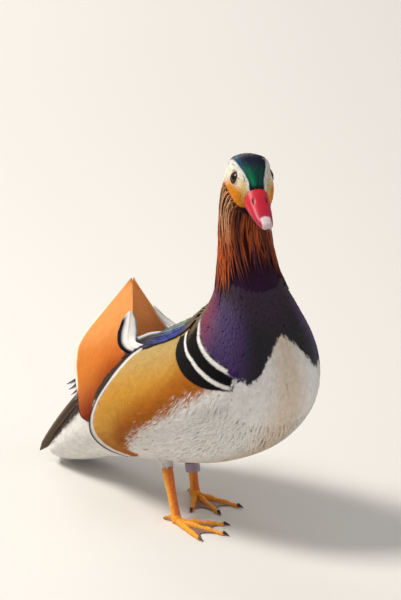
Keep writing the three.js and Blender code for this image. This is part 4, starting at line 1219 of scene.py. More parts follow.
def primaries(side_name, side_sign):
    """Brown-grey vanes with a silver outer edge and a dark blue gloss near the tip."""
    t = np.linspace(0, 1, PRIMARY_ROWS)[None] * np.ones((PRIMARIES, 1))
    along, u = over_rings(LARGE_RING, t)
    colour = mixed(FLIGHT_BROWN, NAVY, blend_in(along, 0.4, 0.8))
    colour = mixed(colour, SILVER, blend_in(np.abs(u), 0.5, 0.75))
    roots = np.stack([np.full(PRIMARIES, 0.3), 0.28 + 0.004 * np.arange(PRIMARIES)], -1)
    feather_piece(f"primaries_{side_name}", primary_lines(side_sign),
                  unit(np.array([0.35, side_sign * 0.7, 0.65])), PRIMARY_HALF * round_tip(t),
                  np.full(PRIMARIES, PRIMARY_LONG), colour, roots, gloss_finish,
                  (f"wing_{side_name}",), camber=0.04)


for side_name, side_sign in SIDES.items():
    wing_feathers(side_name, side_sign)
    primaries(side_name, side_sign)

# %% [markdown]
# ## Sails
# One tertial of each wing is enlarged into an upright orange sail. It is a sheet between a front
# and a rear edge, each a smooth curve, bulged outwards between them. Its root is tucked inwards, so
# that the free edge of the flank covers it. Two faces a feather's thickness apart make it a closed
# piece that looks right from both sides.

# %% Sails
SAIL_FRONT = np.array([[-50, 52, 62], [-42, 48, 90], [-41, 34, 112], [-46, 22.5, 126],
                       [-53, 12.5, 143], [-67, 1.2, 168]], float)
SAIL_REAR = np.array([[-58, 52, 56], [-77, 47, 68], [-92, 38, 82], [-106, 29, 99],
                      [-109, 19, 116], [-69, 1.2, 171]], float)
SAIL_ROWS = 90
SAIL_COLUMNS = 44
SAIL_BULGE = 5.0
SAIL_THICKNESS = 0.9
SAIL_TUCK = 10.0
SAIL_RIPPLE = 0.12
SAIL_HEIGHT = 130
SAIL_WIDTH = 55
# how far across the shaft runs, from the front edge
SAIL_SHAFT = 0.3
SAIL_ORANGE = paint(200, 114, 38)
SAIL_PALE = paint(224, 152, 86)
SAIL_BRIGHT = paint(180, 80, 14)
SAIL_CHESTNUT = paint(122, 36, 12)
SAIL_CREAM = paint(250, 228, 198)
# painted light on the inner face, standing for sunlight through the thin vane: how much brighter it
# is, and how much of its orange is made pale
INNER_FACE_PAINTED_LIGHT = 1.35
INNER_FACE_PAINTED_PALE = 0.55

# %% Shape and colour of a sail
def sail_points(side_sign, over, up):
    """Across from front to rear at each height, with a sine bulge both ways, a tucked root, and
    two faces set apart along the normal, closer together at the edges."""
    front = smooth_rows(SAIL_FRONT, up * (len(SAIL_FRONT) - 1))
    rear = smooth_rows(SAIL_REAR, up * (len(SAIL_REAR) - 1))
    middle = front + (rear - front) * over[..., None]
    middle[..., 1] += SAIL_BULGE * np.sin(np.pi * over) * np.sin(np.pi * up)
    free = blend_in(over, 0.1, 1.0) * blend_in(up, 0.02, 0.16)
    middle[..., 1] -= SAIL_TUCK * (1 - free) * (1 - blend_in(up, 0.15, 0.55))
    middle[..., 1] *= side_sign
    normal = unit(np.cross(np.gradient(middle, axis=0), np.gradient(middle, axis=1)))
    middle = middle + normal * (SAIL_RIPPLE * np.sin(over * 70 + up * 30))[..., None]
    edge = np.minimum(1, 12 * np.minimum(over, 1 - over) + 0.3)[..., None]
    half = normal * SAIL_THICKNESS / 2 * edge
    return np.concatenate([middle + half, (middle - half)[:, ::-1]], 1)


def sail_colour_at(over, up, inner):
    """Orange, paler above, brighter in front, chestnut at the root, with a cream edge that is black
    low at the rear. The inner face is brighter and paler by painted light, which stands for
    sunlight through the vane."""
    colour = mixed(SAIL_ORANGE, SAIL_PALE, blend_in(up, 0.55, 0.95))
    # painted light on the inner face: brighter, and paler higher up, for sunlight through the vane
    colour = colour * (1 + (INNER_FACE_PAINTED_LIGHT - 1) * inner)[..., None]
    colour = mixed(colour, SAIL_BRIGHT,
                   (1 - blend_in(over, 0.1, 0.6)) * (1 - blend_in(up, 0.35, 0.8)))
    colour = mixed(colour, SAIL_CHESTNUT, 1 - blend_in(up + 0.15 * over, 0.2, 0.64))
    colour = mixed(colour, SAIL_PALE * INNER_FACE_PAINTED_LIGHT, INNER_FACE_PAINTED_PALE * inner * blend_in(up, 0.2, 0.5))
    rear = blend_in(over, 0.915, 0.95) * blend_in(up, 0.34, 0.42)
    front = (1 - blend_in(over, 0.03, 0.07)) * blend_in(up, 0.52, 0.62)
    colour = mixed(colour, SAIL_CREAM, np.maximum(rear, front * (1 - blend_in(up, 0.7, 0.9))))
    return mixed(colour, INK, blend_in(over, 0.92, 0.96) * (1 - blend_in(up, 0.3, 0.38)))

# %% Both sails
def sail(side_name, side_sign):
    """Both faces of one sail, the second running back from rear to front."""
    up = np.linspace(0, 1, SAIL_ROWS)[:, None]
    over = np.linspace(0, 1, SAIL_COLUMNS)[None]
    points = sail_points(side_sign, over, up)
    over = np.concatenate([over, over[:, ::-1]], 1) + 0 * up
    up = up + 0 * over
    inner = np.repeat([0.0, 1.0], SAIL_COLUMNS)[None] + 0 * up
    vane = np.stack([(over - SAIL_SHAFT) * SAIL_WIDTH, SAIL_HEIGHT * up, 0 * up], -1)
    bake = np.stack([over * 0.24 + (0.5 if side_sign > 0 else 0.75), 0.02 + 0.12 * up], -1)
    make_piece(f"sail_plume_{side_name}", [settle(points)], sail_finish,
               (f"sail_{side_name}",), sail_colour_at(over, up, inner), vane, bake)


# %% [markdown]
# ## White plumes
# Before each sail lies a broad white crescent with a dark outer border. It is a single large
# feather on a curved line, of the same kind as those of the wing: its own list of half widths
# bends it into a sickle more easily than a cut sheet would.

# %% White plumes
PLUME = np.array([[-19, 28, 132], [-31.5, 28.4, 129], [-42, 26, 131], [-50.5, 18.6, 138],
                  [-57, 11.3, 148.6]], float)
PLUME_ROWS = 40
PLUME_LONG = 60.0
# share of the length and half width
PLUME_HALF = ([0, 0.25, 0.5, 0.7, 0.88, 1.0], [2.2, 5.6, 8.0, 8.0, 5.6, 1.2])


def white_plume(side_name, side_sign):
    """The white crescent before each sail, with a black outer border."""
    t = np.linspace(0, 1, PLUME_ROWS)[None]
    line = settle(smooth_rows(PLUME * [1, side_sign, 1], t * (len(PLUME) - 1)))
    along, u = over_rings(LARGE_RING, t)
    edge = blend_in(side_sign * u, 0.3, 0.62) * (1 - blend_in(along, 0.85, 0.97))
    feather_piece(f"white_plume_{side_name}", line, unit(np.array([0.66, side_sign * 0.7, 0.3])),
                  np.interp(t, *PLUME_HALF), np.array([PLUME_LONG]),
                  mixed(WHITE, NAVY * 0.6, edge), np.array([[0.4, 0.3]]), coat_finish,
                  thick=0.6, camber=0.12)


for side_name, side_sign in SIDES.items():
    sail(side_name, side_sign)
    white_plume(side_name, side_sign)

# %% [markdown]
# ## Tail
# The tail droops and is nearly closed, so its feathers lie like a roof: the middle pair on top,
# each next one lower, wider out and a little shorter. Shorter coverts cover their roots. One sheet
# with lines drawn on it would do from afar, but its edge wouldn't step from feather to feather.

# %% Tail
TAIL_ROOT = np.array([-84.0, 0.0, 95.0])
TAIL_TIP = np.array([-163.0, 0.0, 7.0])
TAIL_LONG = 118
TAIL_ROWS = 16
TAIL_BROWN = paint(92, 72, 56)
TAIL_EDGE = paint(134, 112, 92)


def tail_fan(name, number, reach, half, lift, stands_for=()):
    """Straight feathers from root to tip; `number` counts them out from the middle. Each lies
    lower the further out it is, and the left ones a little higher than the right."""
    away = np.abs(number)[:, None]
    t = np.linspace(0, 1, TAIL_ROWS)[None] * np.ones((len(number), 1))
    travel = t * reach[:, None]
    x = TAIL_ROOT[0] + (TAIL_TIP[0] - TAIL_ROOT[0] + 0.2 * away ** 2) * travel
    y = number[:, None] * (2.8 + 2.4 * travel)
    z = TAIL_ROOT[2] + (TAIL_TIP[2] - TAIL_ROOT[2]) * travel + 7.0 - 1.1 * away + lift
    line = settle(np.stack([x, y, z + 0.3 * (number[:, None] > 0)], -1))
    out = unit(np.stack([0.74 + 0 * number, 0.12 * np.sign(number), 0.67 + 0 * number], -1))
    _, u = over_rings(LARGE_RING, t)
    colour = mixed(TAIL_BROWN, TAIL_EDGE, blend_in(np.abs(u), 0.7, 1.0))
    roots = np.stack([0.2 + 0.005 * number, 0.25 + 0 * number], -1)
    feather_piece(name, line, out[:, None], half * round_tip(t), TAIL_LONG * reach, colour,
                  roots, gloss_finish, stands_for, camber=0.05)


steer = np.arange(12) - 5.5
tail_fan("tail_feathers", steer * 0.85, np.ones(12), 6.2, 0.0, ("tail",))
cover = np.arange(9) - 4.0
tail_fan("tail_coverts_long", cover, 0.56 - 0.02 * np.abs(cover), 5.2, 1.1)
tail_fan("tail_coverts_short", cover * 0.95 + 0.3, 0.34 - 0.01 * np.abs(cover), 4.8, 2.0)

# %% [markdown]
# ## Eyes
# A duck's eye is a dark ball of which only a cap shows. The iris is so dark a brown that it nearly
# meets the black pupil, and what makes it look alive is the wet gloss. A thin dark lid rings it.
# The lid is a shell of its own, because a line painted on the ball would shine as the eye does.

# %% Eyes and lids
EYE_BROWN = paint(58, 32, 18)
LID_DARK = paint(34, 26, 24)
LID_SHADE = (0.6, 0.55, 0.5, 1)
# opening of the lid in degrees about the way the eye looks, level and upright, the width of its
# dark rim, and where it ends
LID_OPENING = (33.0, 43.0)
LID_RIM = 8.0
LID_EDGE = 60.0
LID_THICKNESS = 0.12
LID_PUFF = 0.55
# degrees over which the pupil and the dark rim of the iris are blended in
PUPIL_EDGE = (17, 20)
IRIS_EDGE = (30, 46)
PUPIL_BLACK = np.full(3, 0.002)
eye_finish, tree, shader = new_material("wet_eye", 0.16, Specular_IOR_Level=0.22)
tree.links.new(layer_node(tree, "tint")["Color"], shader.inputs["Base Color"])
lid_finish, tree, shader = new_material("lid_skin", 0.7, Specular_IOR_Level=0.2)
lid_cloud = mix_colour(tree, "MULTIPLY", noise_node(tree, 1500.0),
                       layer_node(tree, "tint")["Color"], LID_SHADE)
tree.links.new(lid_cloud, shader.inputs["Base Color"])


def eye_frame(side_sign):
    """The eye's middle, the way it looks, and two directions square to that, the first level."""
    look = outward(np.array(EYE_PLACE), -side_sign * EYE_ANGLE)
    level = unit(np.cross(np.array([0.0, 0.0, 1.0]), look))
    return eye_centre_mm(side_sign), look, level, np.cross(look, level)


def eyeball(side_name, side_sign, rows=40, columns=56):
    """A ball as rings about the way it looks: radius by the sine, depth by the cosine."""
    centre, look, level, high = eye_frame(side_sign)
    tilt = np.linspace(0.02, np.pi - 0.02, rows)[:, None, None]
    turn = full_turn(columns)[None, :, None]
    points = centre + EYE_RADIUS * (
        np.cos(tilt) * look + np.sin(tilt) * (np.cos(turn) * level + np.sin(turn) * high))
    opening = np.degrees(tilt[..., 0]) + 0 * turn[..., 0]
    colour = mixed(EYE_BROWN, EYE_BROWN * 0.4, blend_in(opening, *IRIS_EDGE))
    colour = mixed(PUPIL_BLACK, colour, blend_in(opening, *PUPIL_EDGE))
    make_piece(f"eyeball_{side_name}", [settle(points)], eye_finish,
               (f"eye_{side_name}",), colour)

# %% Lids
def lid_ring(side_name, side_sign, rows=72, columns=20):
    """A thin shell on the ball with an upright oval opening: dark at its rim, white beyond."""
    centre, look, level, high = eye_frame(side_sign)
    turn = full_turn(rows)[:, None]
    opening = 1 / np.hypot(np.cos(turn) / LID_OPENING[0], np.sin(turn) / LID_OPENING[1])
    half = columns // 2
    over = np.linspace(0, 1, half)[None]
    over = np.concatenate([over, over[:, ::-1]], 1)
    tilt = opening + (LID_EDGE - opening) * over
    top = np.repeat([1, 0], half)[None]
    puff = LID_THICKNESS + LID_PUFF * np.sin(np.pi * np.clip(over * 1.4, 0, 1)) * top
    spoke = np.cos(turn)[..., None] * level + np.sin(turn)[..., None] * high
    tilt = np.radians(tilt)[..., None]
    points = centre + (EYE_RADIUS + puff)[..., None] * (
        np.cos(tilt) * look + np.sin(tilt) * spoke[:, :1])
    dark = 1 - blend_in(np.degrees(tilt[..., 0]) - opening, 0.6 * LID_RIM, LID_RIM)
    make_piece(f"lid_{side_name}", settle(points), lid_finish,
               tint=mixed(CREAM, LID_DARK, dark), quads=tube_quads(rows, columns, True))


for side_name, side_sign in SIDES.items():
    eyeball(side_name, side_sign)
    lid_ring(side_name, side_sign)

# %% [markdown]
# ## Bill
# The bill is horn, crimson with a pale nail at its end. Its side view and its width are given at
# eight steps from the root. Between them the numbers are smoothed, and at each step the upper
# half is an arch over a flat edge. The nostrils are pressed in and the nail is raised, both by
# moving points of the grid, and the colour follows the same places. Cutting the nostrils out
# would leave rough edges in so small a piece.

# %% Bill
# x, top, cutting edge, underside of the lower bill, half width
BILL = np.array([
    [95, 294.5, 281, 276, 9.6],
    [101, 292.3, 279.3, 275, 9.6],
    [108, 288.6, 277.6, 273.8, 8.9],
    [115, 284.6, 276.4, 272.9, 8.0],
    [122, 281.2, 275.5, 272.3, 6.9],
    [127, 279.6, 274.8, 272.0, 5.7],
    [131, 277.9, 274.0, 272.0, 4.0],
    [132.6, 276.0, 273.6, 272.4, 1.7],
])
# powers of the sine that square the arch of each half, how far the lower one is drawn in, and the
# gap between them
UPPER_ARCH = 0.62
LOWER_ARCH = 0.7
LOWER_INSET = 0.8
BILL_GAP = 0.35
# the edge of the upper half is darker by this, up to this share of its height
LIP_SHADE = 0.85
LIP_HEIGHT = 0.2
# how far along and across a nostril is, and its half length and half height
NOSTRIL_MM = (109.3, 5.0, 2.3, 0.85)
NOSTRIL_DEPTH = 0.7
NAIL_START = 123.5
NAIL_RISE = 0.5
CRIMSON = paint(214, 22, 56)
CRIMSON_ORANGE = paint(222, 60, 48)
CRIMSON_PURPLE = paint(140, 22, 66)
NAIL_PALE = paint(230, 208, 210)
# painted shade inside the nostrils' openings
NOSTRIL_PAINTED_SHADE = paint(52, 10, 18)
bill_finish, tree, shader = new_material("bill_horn", 0.42, Specular_IOR_Level=0.35,
                                         Subsurface_Weight=0.05)
bill_specks = mix_colour(tree, "MULTIPLY", 0.45, layer_node(tree, "tint")["Color"],
                         grey_node(tree, noise_node(tree, 700.0, 4.0)))
tree.links.new(bill_specks, shader.inputs["Base Color"])
bump(tree, shader, noise_node(tree, 1100.0, 3.0), 0.25, 0.0003)

# %% Upper half of the bill
def bill_colour(x, y):
    """Crimson, warmer near the face and purple towards the tip, with a pale nail."""
    colour = mixed(CRIMSON, CRIMSON_ORANGE, (1 - blend_in(x, 96, 112)) * 0.6)
    colour = mixed(colour, CRIMSON_PURPLE, blend_in(x, 112, 126) * 0.45)
    nail = blend_in(x + 0.25 * (4 - np.abs(y)), NAIL_START, NAIL_START + 3)
    nail = nail * (1 - blend_in(np.abs(y), 3.3, 4.4))
    return mixed(colour, NAIL_PALE, nail), nail


def upper_bill(rows=110, columns=72):
    """An arch: out by the cosine and up by a power of the sine, over a flat underside."""
    steps = np.linspace(0, 1, rows) ** 0.9 * (len(BILL) - 1)
    x, top, edge, _, half = (c[:, None] for c in smooth_rows(BILL, steps).T)
    half = np.maximum(half, 0.6)
    arch = columns // 2
    turn = np.pi * np.linspace(0, 1, arch)[None]
    rise = np.sin(turn) ** UPPER_ARCH
    y_top = -half * np.cos(turn)
    z_top = edge + (top - edge) * rise
    y_low = np.linspace(1, -1, columns - arch + 2)[None, 1:-1] * half
    z_low = edge + 0.5 * (1 - (y_low / half) ** 2)
    y, z = np.concatenate([y_top, y_low], 1), np.concatenate([z_top, z_low], 1)
    x = x + 0 * y
    height = np.concatenate([rise + 0 * x[:, :arch], 0 * y_low], 1)
    place_x, place_y, long, high = NOSTRIL_MM
    pit = np.exp(-((x - place_x) / long) ** 4 - ((np.abs(y) - place_y) / high) ** 4)
    pit = pit * (height > 0.4)
    colour, nail = bill_colour(x, y)
    # the nostril pits are painted near black: painted shade in the openings
    colour = mixed(colour, NOSTRIL_PAINTED_SHADE, blend_in(pit, 0.25, 0.7))
    lip = (height > 0) & (height < LIP_HEIGHT)
    colour = np.where(lip[..., None], colour * LIP_SHADE, colour)
    z = z - NOSTRIL_DEPTH * pit + NAIL_RISE * nail * (height > 0.3)
    points = turn_head(np.stack([x, y, z], -1))
    make_piece("bill_upper_horn", [settle(points)], bill_finish,
               ("bill_upper",), colour)


upper_bill()

# %% Lower half of the bill
def lower_bill(rows=70, columns=48):
    """The same outline drawn in a little, rounded downwards, with a soft middle seam."""
    steps = np.linspace(0, 0.97, rows) * (len(BILL) - 1)
    x, _, edge, base, half = (c[:, None] for c in smooth_rows(BILL, steps).T)
    half = np.maximum(half - LOWER_INSET, 0.5)
    top = edge - BILL_GAP
    arch = columns // 2
    turn = np.pi * np.linspace(0, 1, arch)[None]
    y_low = half * np.cos(turn)
    z_low = top - np.maximum(top - base, 0.3) * np.sin(turn) ** LOWER_ARCH
    z_low = z_low + 0.35 * np.exp(-(y_low / 1.2) ** 2)
    y_top = np.linspace(-1, 1, columns - arch + 2)[None, 1:-1] * half
    y = np.concatenate([y_low, y_top], 1)
    z = np.concatenate([z_low, top + 0 * y_top], 1)
    x = x + 0 * y
    colour = mixed(CRIMSON * 0.8, CRIMSON_PURPLE, blend_in(x, 104, 122))
    points = turn_head(np.stack([x, y, z], -1))
    make_piece("bill_lower_horn", [settle(points)], bill_finish,
               ("bill_lower",), colour)


lower_bill()

# %% [markdown]
# ## Shanks and feet
# The legs are bare, orange and scaled: broad plates one above the other down the front of the
# shank and over each toe, and small round scales elsewhere. The plates are steps in the mesh,
# because they show in the outline, and the small scales are bump, because they don't.

# %% Leg materials
LEG_ORANGE = paint(250, 166, 38)
LEG_RED = paint(206, 74, 34)
JOINT_BROWN = paint(166, 96, 52)
WEB_GREY = paint(150, 112, 100)
CLAW_DARK = paint(40, 32, 28)
PLATE_EDGE = LEG_RED * 0.8


def scaled_material(name, roughness, scale):
    """Tint with small round scales from a Voronoi pattern, darker in the grooves."""
    material, tree, shader = new_material(name, roughness, Specular_IOR_Level=0.4)
    cells = tree.nodes.new("ShaderNodeTexVoronoi")
    cells.feature = "DISTANCE_TO_EDGE"
    cells.inputs["Scale"].default_value = scale
    tree.links.new(tree.nodes.new("ShaderNodeTexCoord").outputs["Object"], cells.inputs["Vector"])
    groove = tree.nodes.new("ShaderNodeMapRange")
    groove.inputs["From Max"].default_value = 0.12
    groove.inputs["To Min"].default_value = 0.62
    tree.links.new(cells.outputs["Distance"], groove.inputs["Value"])
    grey = math_node(tree, "MULTIPLY", groove.outputs[0],
                     math_node(tree, "ADD", noise_node(tree, 400.0, 3.0), 0.5))
    colour = mix_colour(tree, "MULTIPLY", 0.8, layer_node(tree, "tint")["Color"],
                        grey_node(tree, grey))
    tree.links.new(colour, shader.inputs["Base Color"])
    bump(tree, shader, groove.outputs[0], 0.35, 0.0003)
    return material


def clouded_material(name, roughness, colour, share, scale, detail=2.0):
    """A plain colour, clouded with the same one made darker or lighter by a share."""
    material, tree, shader = new_material(name, roughness)
    cloud = mix_colour(tree, "MIX", noise_node(tree, scale, detail), (*colour, 1),
                       (*(colour * share), 1))
    tree.links.new(cloud, shader.inputs["Base Color"])
    return material, tree, shader


leg_finish = scaled_material("leg_scales", 0.5, 900.0)
web_finish = scaled_material("web_skin", 0.55, 1300.0)
claw_finish = clouded_material("claw_horn", 0.35, CLAW_DARK, 2.5, 900.0)[0]

# %% Shanks
SCUTE_SPACING = 2.3
SCUTE_DEPTH = 0.22
# above this the step is a plate's edge, which is darker
SCUTE_EDGE = 0.85
SHANK_ROWS = 170
# the shank's section is an oval, and its radius is averaged over this many rows on each side
SHANK_SQUASH = 0.84
SHANK_EASE = 6


def scute(distance):
    """A step that rises slowly and drops at each plate's lower edge, from 0 to 1."""
    return ((distance / SCUTE_SPACING) % 1) ** 1.5


def shank(side_name, leg, columns=40):
    """A tube from the ankle to the foot, swollen at both joints, plated in front."""
    ankle, heel, down, across, other = leg_frame(leg)
    reach = np.linalg.norm(heel - ankle)
    travel = np.linspace(-9, reach - 4.2, SHANK_ROWS)
    radius = np.interp(travel, [-9, 0, 8, 16, 0.6 * reach, reach - 9, reach - 4.5],
                       [4.5, 4.9, 4.7, 4.1, 3.8, 3.85, 4.2])
    window = 2 * SHANK_EASE + 1
    radius = np.convolve(np.pad(radius, SHANK_EASE, mode="edge"), np.ones(window) / window,
                         mode="valid")[:, None]
    turn = full_turn(columns)[None]
    plate = scute(travel)[:, None]
    front = blend_in(np.cos(turn), 0.1, 0.7)
    rise = 1 + SCUTE_DEPTH * front * plate / radius
    ring = np.cos(turn)[..., None] * across + SHANK_SQUASH * np.sin(turn)[..., None] * other
    points = (ankle + travel[:, None] * down)[:, None] + (radius * rise)[..., None] * ring
    colour = mixed(LEG_ORANGE, LEG_RED, blend_in(-np.cos(turn) + 0 * rise, 0.1, 0.9) * 0.7)
    colour = mixed(colour, JOINT_BROWN, (1 - blend_in(travel, 2, 9))[:, None] * 0.4 + 0 * rise)
    colour = mixed(colour, PLATE_EDGE, 0.5 * (plate > SCUTE_EDGE) * front)
    make_piece(f"shank_{side_name}", [settle(points)], leg_finish,
               (f"leg_{side_name}",), colour)


# %% [markdown]
# ## Toes, webs and claws
# Three long toes point forwards and a small one back. Each front toe is half round, because it lies
# on the floor, and thin webs join them, hollowed at their front edge. The claws are curved cones.
# All are grids along a line, kept from sinking into the floor by a lowest height for their points,
# which also makes their soles flat.

# %% Toes
TOES = (("inner", 30, 38), ("middle", 2, 47), ("outer", -26, 44))
TOE_RADIUS = 2.7
TOE_COLUMNS = 32
JOINT_ROWS = 24
# how high the soles lie, and the lowest any point of a toe may be, over the floor
SOLE_HEIGHT = 0.15
LOWEST = 0.12
UPWARDS = np.array([0, 0, 1.0])


def toe_direction(leg, spread_degrees):
    """Unit vector along a toe and the one across it, level with the floor. The inner toe points
    towards the other foot."""
    turn = np.radians(leg["turn"] + leg["inward"] * spread_degrees)
    return np.array([np.cos(turn), np.sin(turn), 0]), np.array([-np.sin(turn), np.cos(turn), 0])


def above_floor(points, height):
    """The same points with none below a height in millimetres."""
    points[..., 2] = np.maximum(points[..., 2], height)
    return points


def toe_surface(leg, spread_degrees, long, rows=90):
    """Half-round over the floor, swollen at its joints, with plates across its top."""
    along, across = toe_direction(leg, spread_degrees)
    t = np.linspace(0, 1, rows)[:, None]
    radius = TOE_RADIUS * (1 - 0.42 * t) * (1 + 0.1 * np.cos(t * 6 * np.pi))
    radius = radius * np.sqrt(np.clip((1.02 - t) / 0.06, 0.05, 1))
    arch = TOE_COLUMNS // 2
    turn = np.pi * np.linspace(0, 1, arch)[None]
    top = np.sin(turn)
    lift = 1 + 0.07 * top * scute(long * t)
    sole = 0 * radius * np.ones((1, arch))
    y = np.concatenate([radius * np.cos(turn), radius * np.linspace(-1, 1, arch + 2)[1:-1]], 1)
    z = np.concatenate([1.7 * radius * top * lift, SOLE_HEIGHT + sole], 1)
    points = leg["heel"] + (long * t)[..., None] * along + y[..., None] * across
    points[..., 2] = np.maximum(z, LOWEST)
    shade = np.concatenate([top * (scute(long * t) > SCUTE_EDGE), sole], 1)
    colour = mixed(LEG_ORANGE, PLATE_EDGE, 0.45 * shade)
    # the lower part of the toe, towards the floor, is browner
    return points, mixed(colour, JOINT_BROWN, 0.5 * (1 - blend_in(z, 0.3, 1.6)))


def knuckle(leg):
    """A blunt ball that the toes meet in: its radius is the fourth root's bulge, cut at the
    floor."""
    ankle, heel, down, across, other = leg_frame(leg)
    start = np.linalg.norm(heel - ankle) - 7
    t = np.linspace(0, 1, JOINT_ROWS)
    radii = 4.3 * np.sqrt(np.maximum(1 - (2 * t - 1.0) ** 4, 0.02))
    points = round_limb(ankle + (start + 7.2 * t)[:, None] * down, radii, TOE_COLUMNS, across,
                        other, 0.92)
    return above_floor(points, SOLE_HEIGHT), LEG_ORANGE + 0 * points


def hind_toe(leg):
    """A small curved cone behind the foot, browner towards its tip."""
    ankle, heel, down, _, _ = leg_frame(leg)
    along, side = toe_direction(leg, 0)
    root = ankle + (np.linalg.norm(heel - ankle) - 4) * down
    knots = np.array([root, root - 6 * along, root - 11 * along, root - 13.5 * along])
    knots[1:, 2] = [3.2, 1.7, 1.0]
    t = np.linspace(0, 1, JOINT_ROWS)
    centres = smooth_rows(knots, np.linspace(0, 3, JOINT_ROWS))
    radii = np.interp(t, [0, 0.4, 0.75, 1], [2.1, 1.6, 1.1, 0.4])
    points = above_floor(round_limb(centres, radii, TOE_COLUMNS, side, UPWARDS), SOLE_HEIGHT)
    return points, mixed(LEG_ORANGE, JOINT_BROWN, t)[:, None] + 0 * points


def foot(side_name, leg):
    """Three front toes, the knuckle they meet in and a small hind toe, as one piece."""
    shapes = [toe_surface(leg, spread_degrees, long) for _, spread_degrees, long in TOES]
    shapes += [knuckle(leg), hind_toe(leg)]
    make_piece(f"toes_{side_name}", [settle(points) for points, _ in shapes], leg_finish,
               (f"foot_{side_name}",), [colour for _, colour in shapes])


# %% Webs
WEB_REACH = 0.88
WEB_HALF_THICKNESS = 0.3
WEB_FOLDS = 40


def webs(side_name, leg, rows=40, columns=26):
    """Thin skin between neighbouring toes: straight across each pair, shortened by a hollow in
    front, sagging a little in the middle, with fine folds that fan out from the heel."""
    shapes, colours = [], []
    for (_, spread_a, long_a), (_, spread_b, long_b) in zip(TOES, TOES[1:]):
        over = np.linspace(0, 1, columns)[None]
        reach = WEB_REACH * np.linspace(0.04, 1, rows)[:, None]
        tip_a = toe_direction(leg, spread_a)[0] * long_a
        tip_b = toe_direction(leg, spread_b)[0] * long_b
        flat = reach[..., None] * (tip_a + (tip_b - tip_a) * over[..., None])
        flat = flat * (1 - 0.22 * reach * np.sin(np.pi * over))[..., None]
        top = leg["heel"] + flat
        low = top[:, ::-1].copy()
        fold = np.cos(over * WEB_FOLDS)
        height = 1.15 - 0.45 * np.sin(np.pi * over) * reach + 0.12 * fold * reach
        top[..., 2] = height + WEB_HALF_THICKNESS
        low[..., 2] = np.maximum(height[:, ::-1] - WEB_HALF_THICKNESS, 0.2)
        shapes.append(settle(np.concatenate([top, low], 1)))
        near_toe = blend_in(np.abs(over - 0.5) * 2, 0.55, 1.0) + 0 * reach
        colour = mixed(WEB_GREY, LEG_ORANGE, near_toe * 0.8)
        colour = mixed(colour, WEB_GREY * 0.6, 0.4 * blend_in(fold + 0 * reach, 0.5, 1))
        colours.append(np.concatenate([colour, colour[:, ::-1]], 1))
    make_piece(f"webs_{side_name}", shapes, web_finish, tint=colours)


# %% Claws
CLAW_LONG = 5.5


def claws(side_name, leg, rows=16, columns=16):
    """Short curved cones that narrow and bend down to the floor, one at each toe's end."""
    shapes = []
    t = np.linspace(0, 1, rows)
    radii = 1.35 * (1 - t) ** 0.8 + 0.12
    for _, spread_degrees, long in TOES:
        along, across = toe_direction(leg, spread_degrees)
        centres = leg["heel"] + (long - 1.4 + CLAW_LONG * t)[:, None] * along
        centres[:, 2] = 2.2 - 1.5 * t ** 1.8
        cone = round_limb(centres, radii, columns, across, UPWARDS, 1.15)
        shapes.append(settle(above_floor(cone, 0.05)))
    make_piece(f"claws_{side_name}", shapes, claw_finish,
               [f"claw_{side_name}_{toe}" for toe, _, _ in TOES])


for side_name, leg in LEGS.items():
    shank(side_name, leg)
    foot(side_name, leg)
    webs(side_name, leg)
    claws(side_name, leg)

# %% [markdown]
# ## Leg ring
# The left leg wears a plain ring, as ringed birds do. It is a short pipe whose section is a
# rounded rectangle: the outline of the section is walked once, and turned about the shank. A
# pipe with a Bevel modifier would look the same, but here its size is exact without one.

# %% Ring
# along the shank from the ankle, and from its middle line outwards
RING_SPAN = (13.2, 20.4)
RING_RADII = (4.4, 5.9)
RING_CORNER = 0.35
RING_LILAC = paint(176, 158, 178)
ring_finish, tree, shader = clouded_material("ring_plastic", 0.38, RING_LILAC, 0.6, 260.0, 4.0)
bump(tree, shader, noise_node(tree, 1400.0), 0.15, 0.0002)


def between(span, wave):
    """From one end of a span to the other, by a sine or cosine raised to a power below one."""
    low, high = span
    return (low + high) / 2 + (high - low) / 2 * np.sign(wave) * np.abs(wave) ** RING_CORNER


def ring_shape(leg, rows=72, columns=24):
    """A rounded rectangle, by powers of cosine and sine, turned about the shank."""
    ankle, _, down, across, other = leg_frame(leg)
    turn, section = full_turn(rows)[:, None], full_turn(columns)[None]
    radius = between(RING_RADII, np.cos(section)) + 0 * turn
    travel = between(RING_SPAN, np.sin(section)) + 0 * turn
    spoke = np.cos(turn)[..., None] * across + np.sin(turn)[..., None] * other
    points = ankle + travel[..., None] * down + radius[..., None] * spoke
    make_piece("leg_ring_left", settle(points), ring_finish,
               ("ring_left",), quads=tube_quads(rows, columns, True))


ring_shape(LEGS["left"])

# %% [markdown]
# ## Floor, light and camera
# The bird stands on a plain pale floor. One large soft light high on the left gives the sun's
# side, a weaker one fills the right, and a pale sky lifts the shadows. The camera is far away with
# a long lens, so that near and far parts keep the same scale.

# %% Floor and camera
CAMERA_AZIMUTH = np.radians(52)
CAMERA_ELEVATION = np.radians(18)
CAMERA_DISTANCE = 6.0
CAMERA_LENS = 460.8
# the middle of the photograph's frame, to the right of the origin and up from it
FRAME_CENTRE_MM = (10.55, 161.7)
FLOOR_HALF = 4


def aim(thing, where, direction):
    """Puts a camera or a lamp at a point and turns it to look along a direction."""
    thing.location = where
    thing.rotation_mode = "QUATERNION"
    thing.rotation_quaternion = Vector(direction).to_track_quat("-Z", "Y")


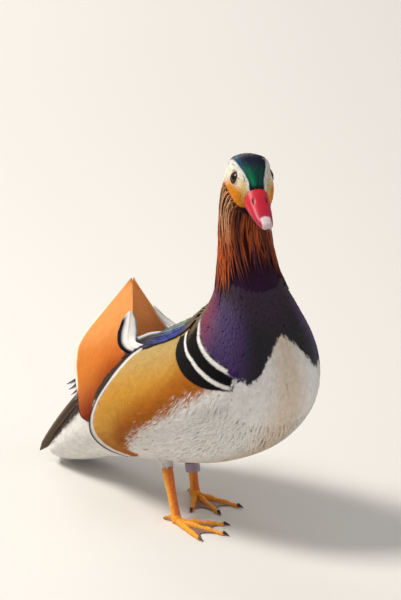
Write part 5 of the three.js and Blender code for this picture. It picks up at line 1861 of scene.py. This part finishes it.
corners = [(FLOOR_HALF * x, FLOOR_HALF * y, 0) for x, y in ((-1, -1), (1, -1), (1, 1), (-1, 1))]
floor_mesh = bpy.data.meshes.new("floor")
floor_mesh.from_pydata(corners, [], [(0, 1, 2, 3)])
floor = put_in_scene("floor", floor_mesh)
floor_finish, tree, shader = new_material("pale_floor", 0.9)
shader.inputs["Base Color"].default_value = (0.72, 0.7, 0.67, 1)
floor_mesh.materials.append(floor_finish)

azimuth, elevation = CAMERA_AZIMUTH, CAMERA_ELEVATION
right = np.array([np.cos(azimuth), np.sin(azimuth), 0])
forward = np.array([-np.sin(azimuth) * np.cos(elevation), np.cos(azimuth) * np.cos(elevation),
                    -np.sin(elevation)])
upward = np.cross(right, forward)
target = settle(right * FRAME_CENTRE_MM[0] + upward * FRAME_CENTRE_MM[1])
camera_data = bpy.data.cameras.new("camera")
camera_data.lens = CAMERA_LENS
camera_data.clip_end = 50
camera = put_in_scene("camera", camera_data)
aim(camera, target - forward * CAMERA_DISTANCE, forward)
bpy.context.scene.camera = camera
print("camera at", [round(v, 3) for v in camera.location])


# %% Lights
def soft_light(name, towards, distance, size, watts, colour):
    """A square lamp that looks at the bird from a direction."""
    data = bpy.data.lights.new(name, "AREA")
    data.energy, data.size, data.color = watts, size, colour
    direction = unit(np.array(towards, float))
    aim(put_in_scene(name, data), target + direction * distance, -direction)


soft_light("key", -0.75 * right - 0.35 * forward + 0.9 * upward, distance=2.0, size=0.7,
           watts=44, colour=(1.0, 0.96, 0.9))
soft_light("fill", 0.9 * right - 0.7 * forward + 0.3 * upward, distance=2.4, size=1.6,
           watts=8, colour=(0.9, 0.95, 1.0))
soft_light("rim", -0.3 * right + 0.9 * forward + 0.8 * upward, distance=2.2, size=1.0,
           watts=12, colour=(1.0, 0.97, 0.92))
world = bpy.data.worlds.new("studio")
world.use_nodes = True
sky = world.node_tree.nodes["Background"].inputs
sky["Color"].default_value = (0.95, 0.93, 0.9, 1)
sky["Strength"].default_value = 0.42
bpy.context.scene.world = world
bpy.context.scene.view_settings.view_transform = "Standard"
print("lights:", [lamp.name for lamp in bpy.data.lights])
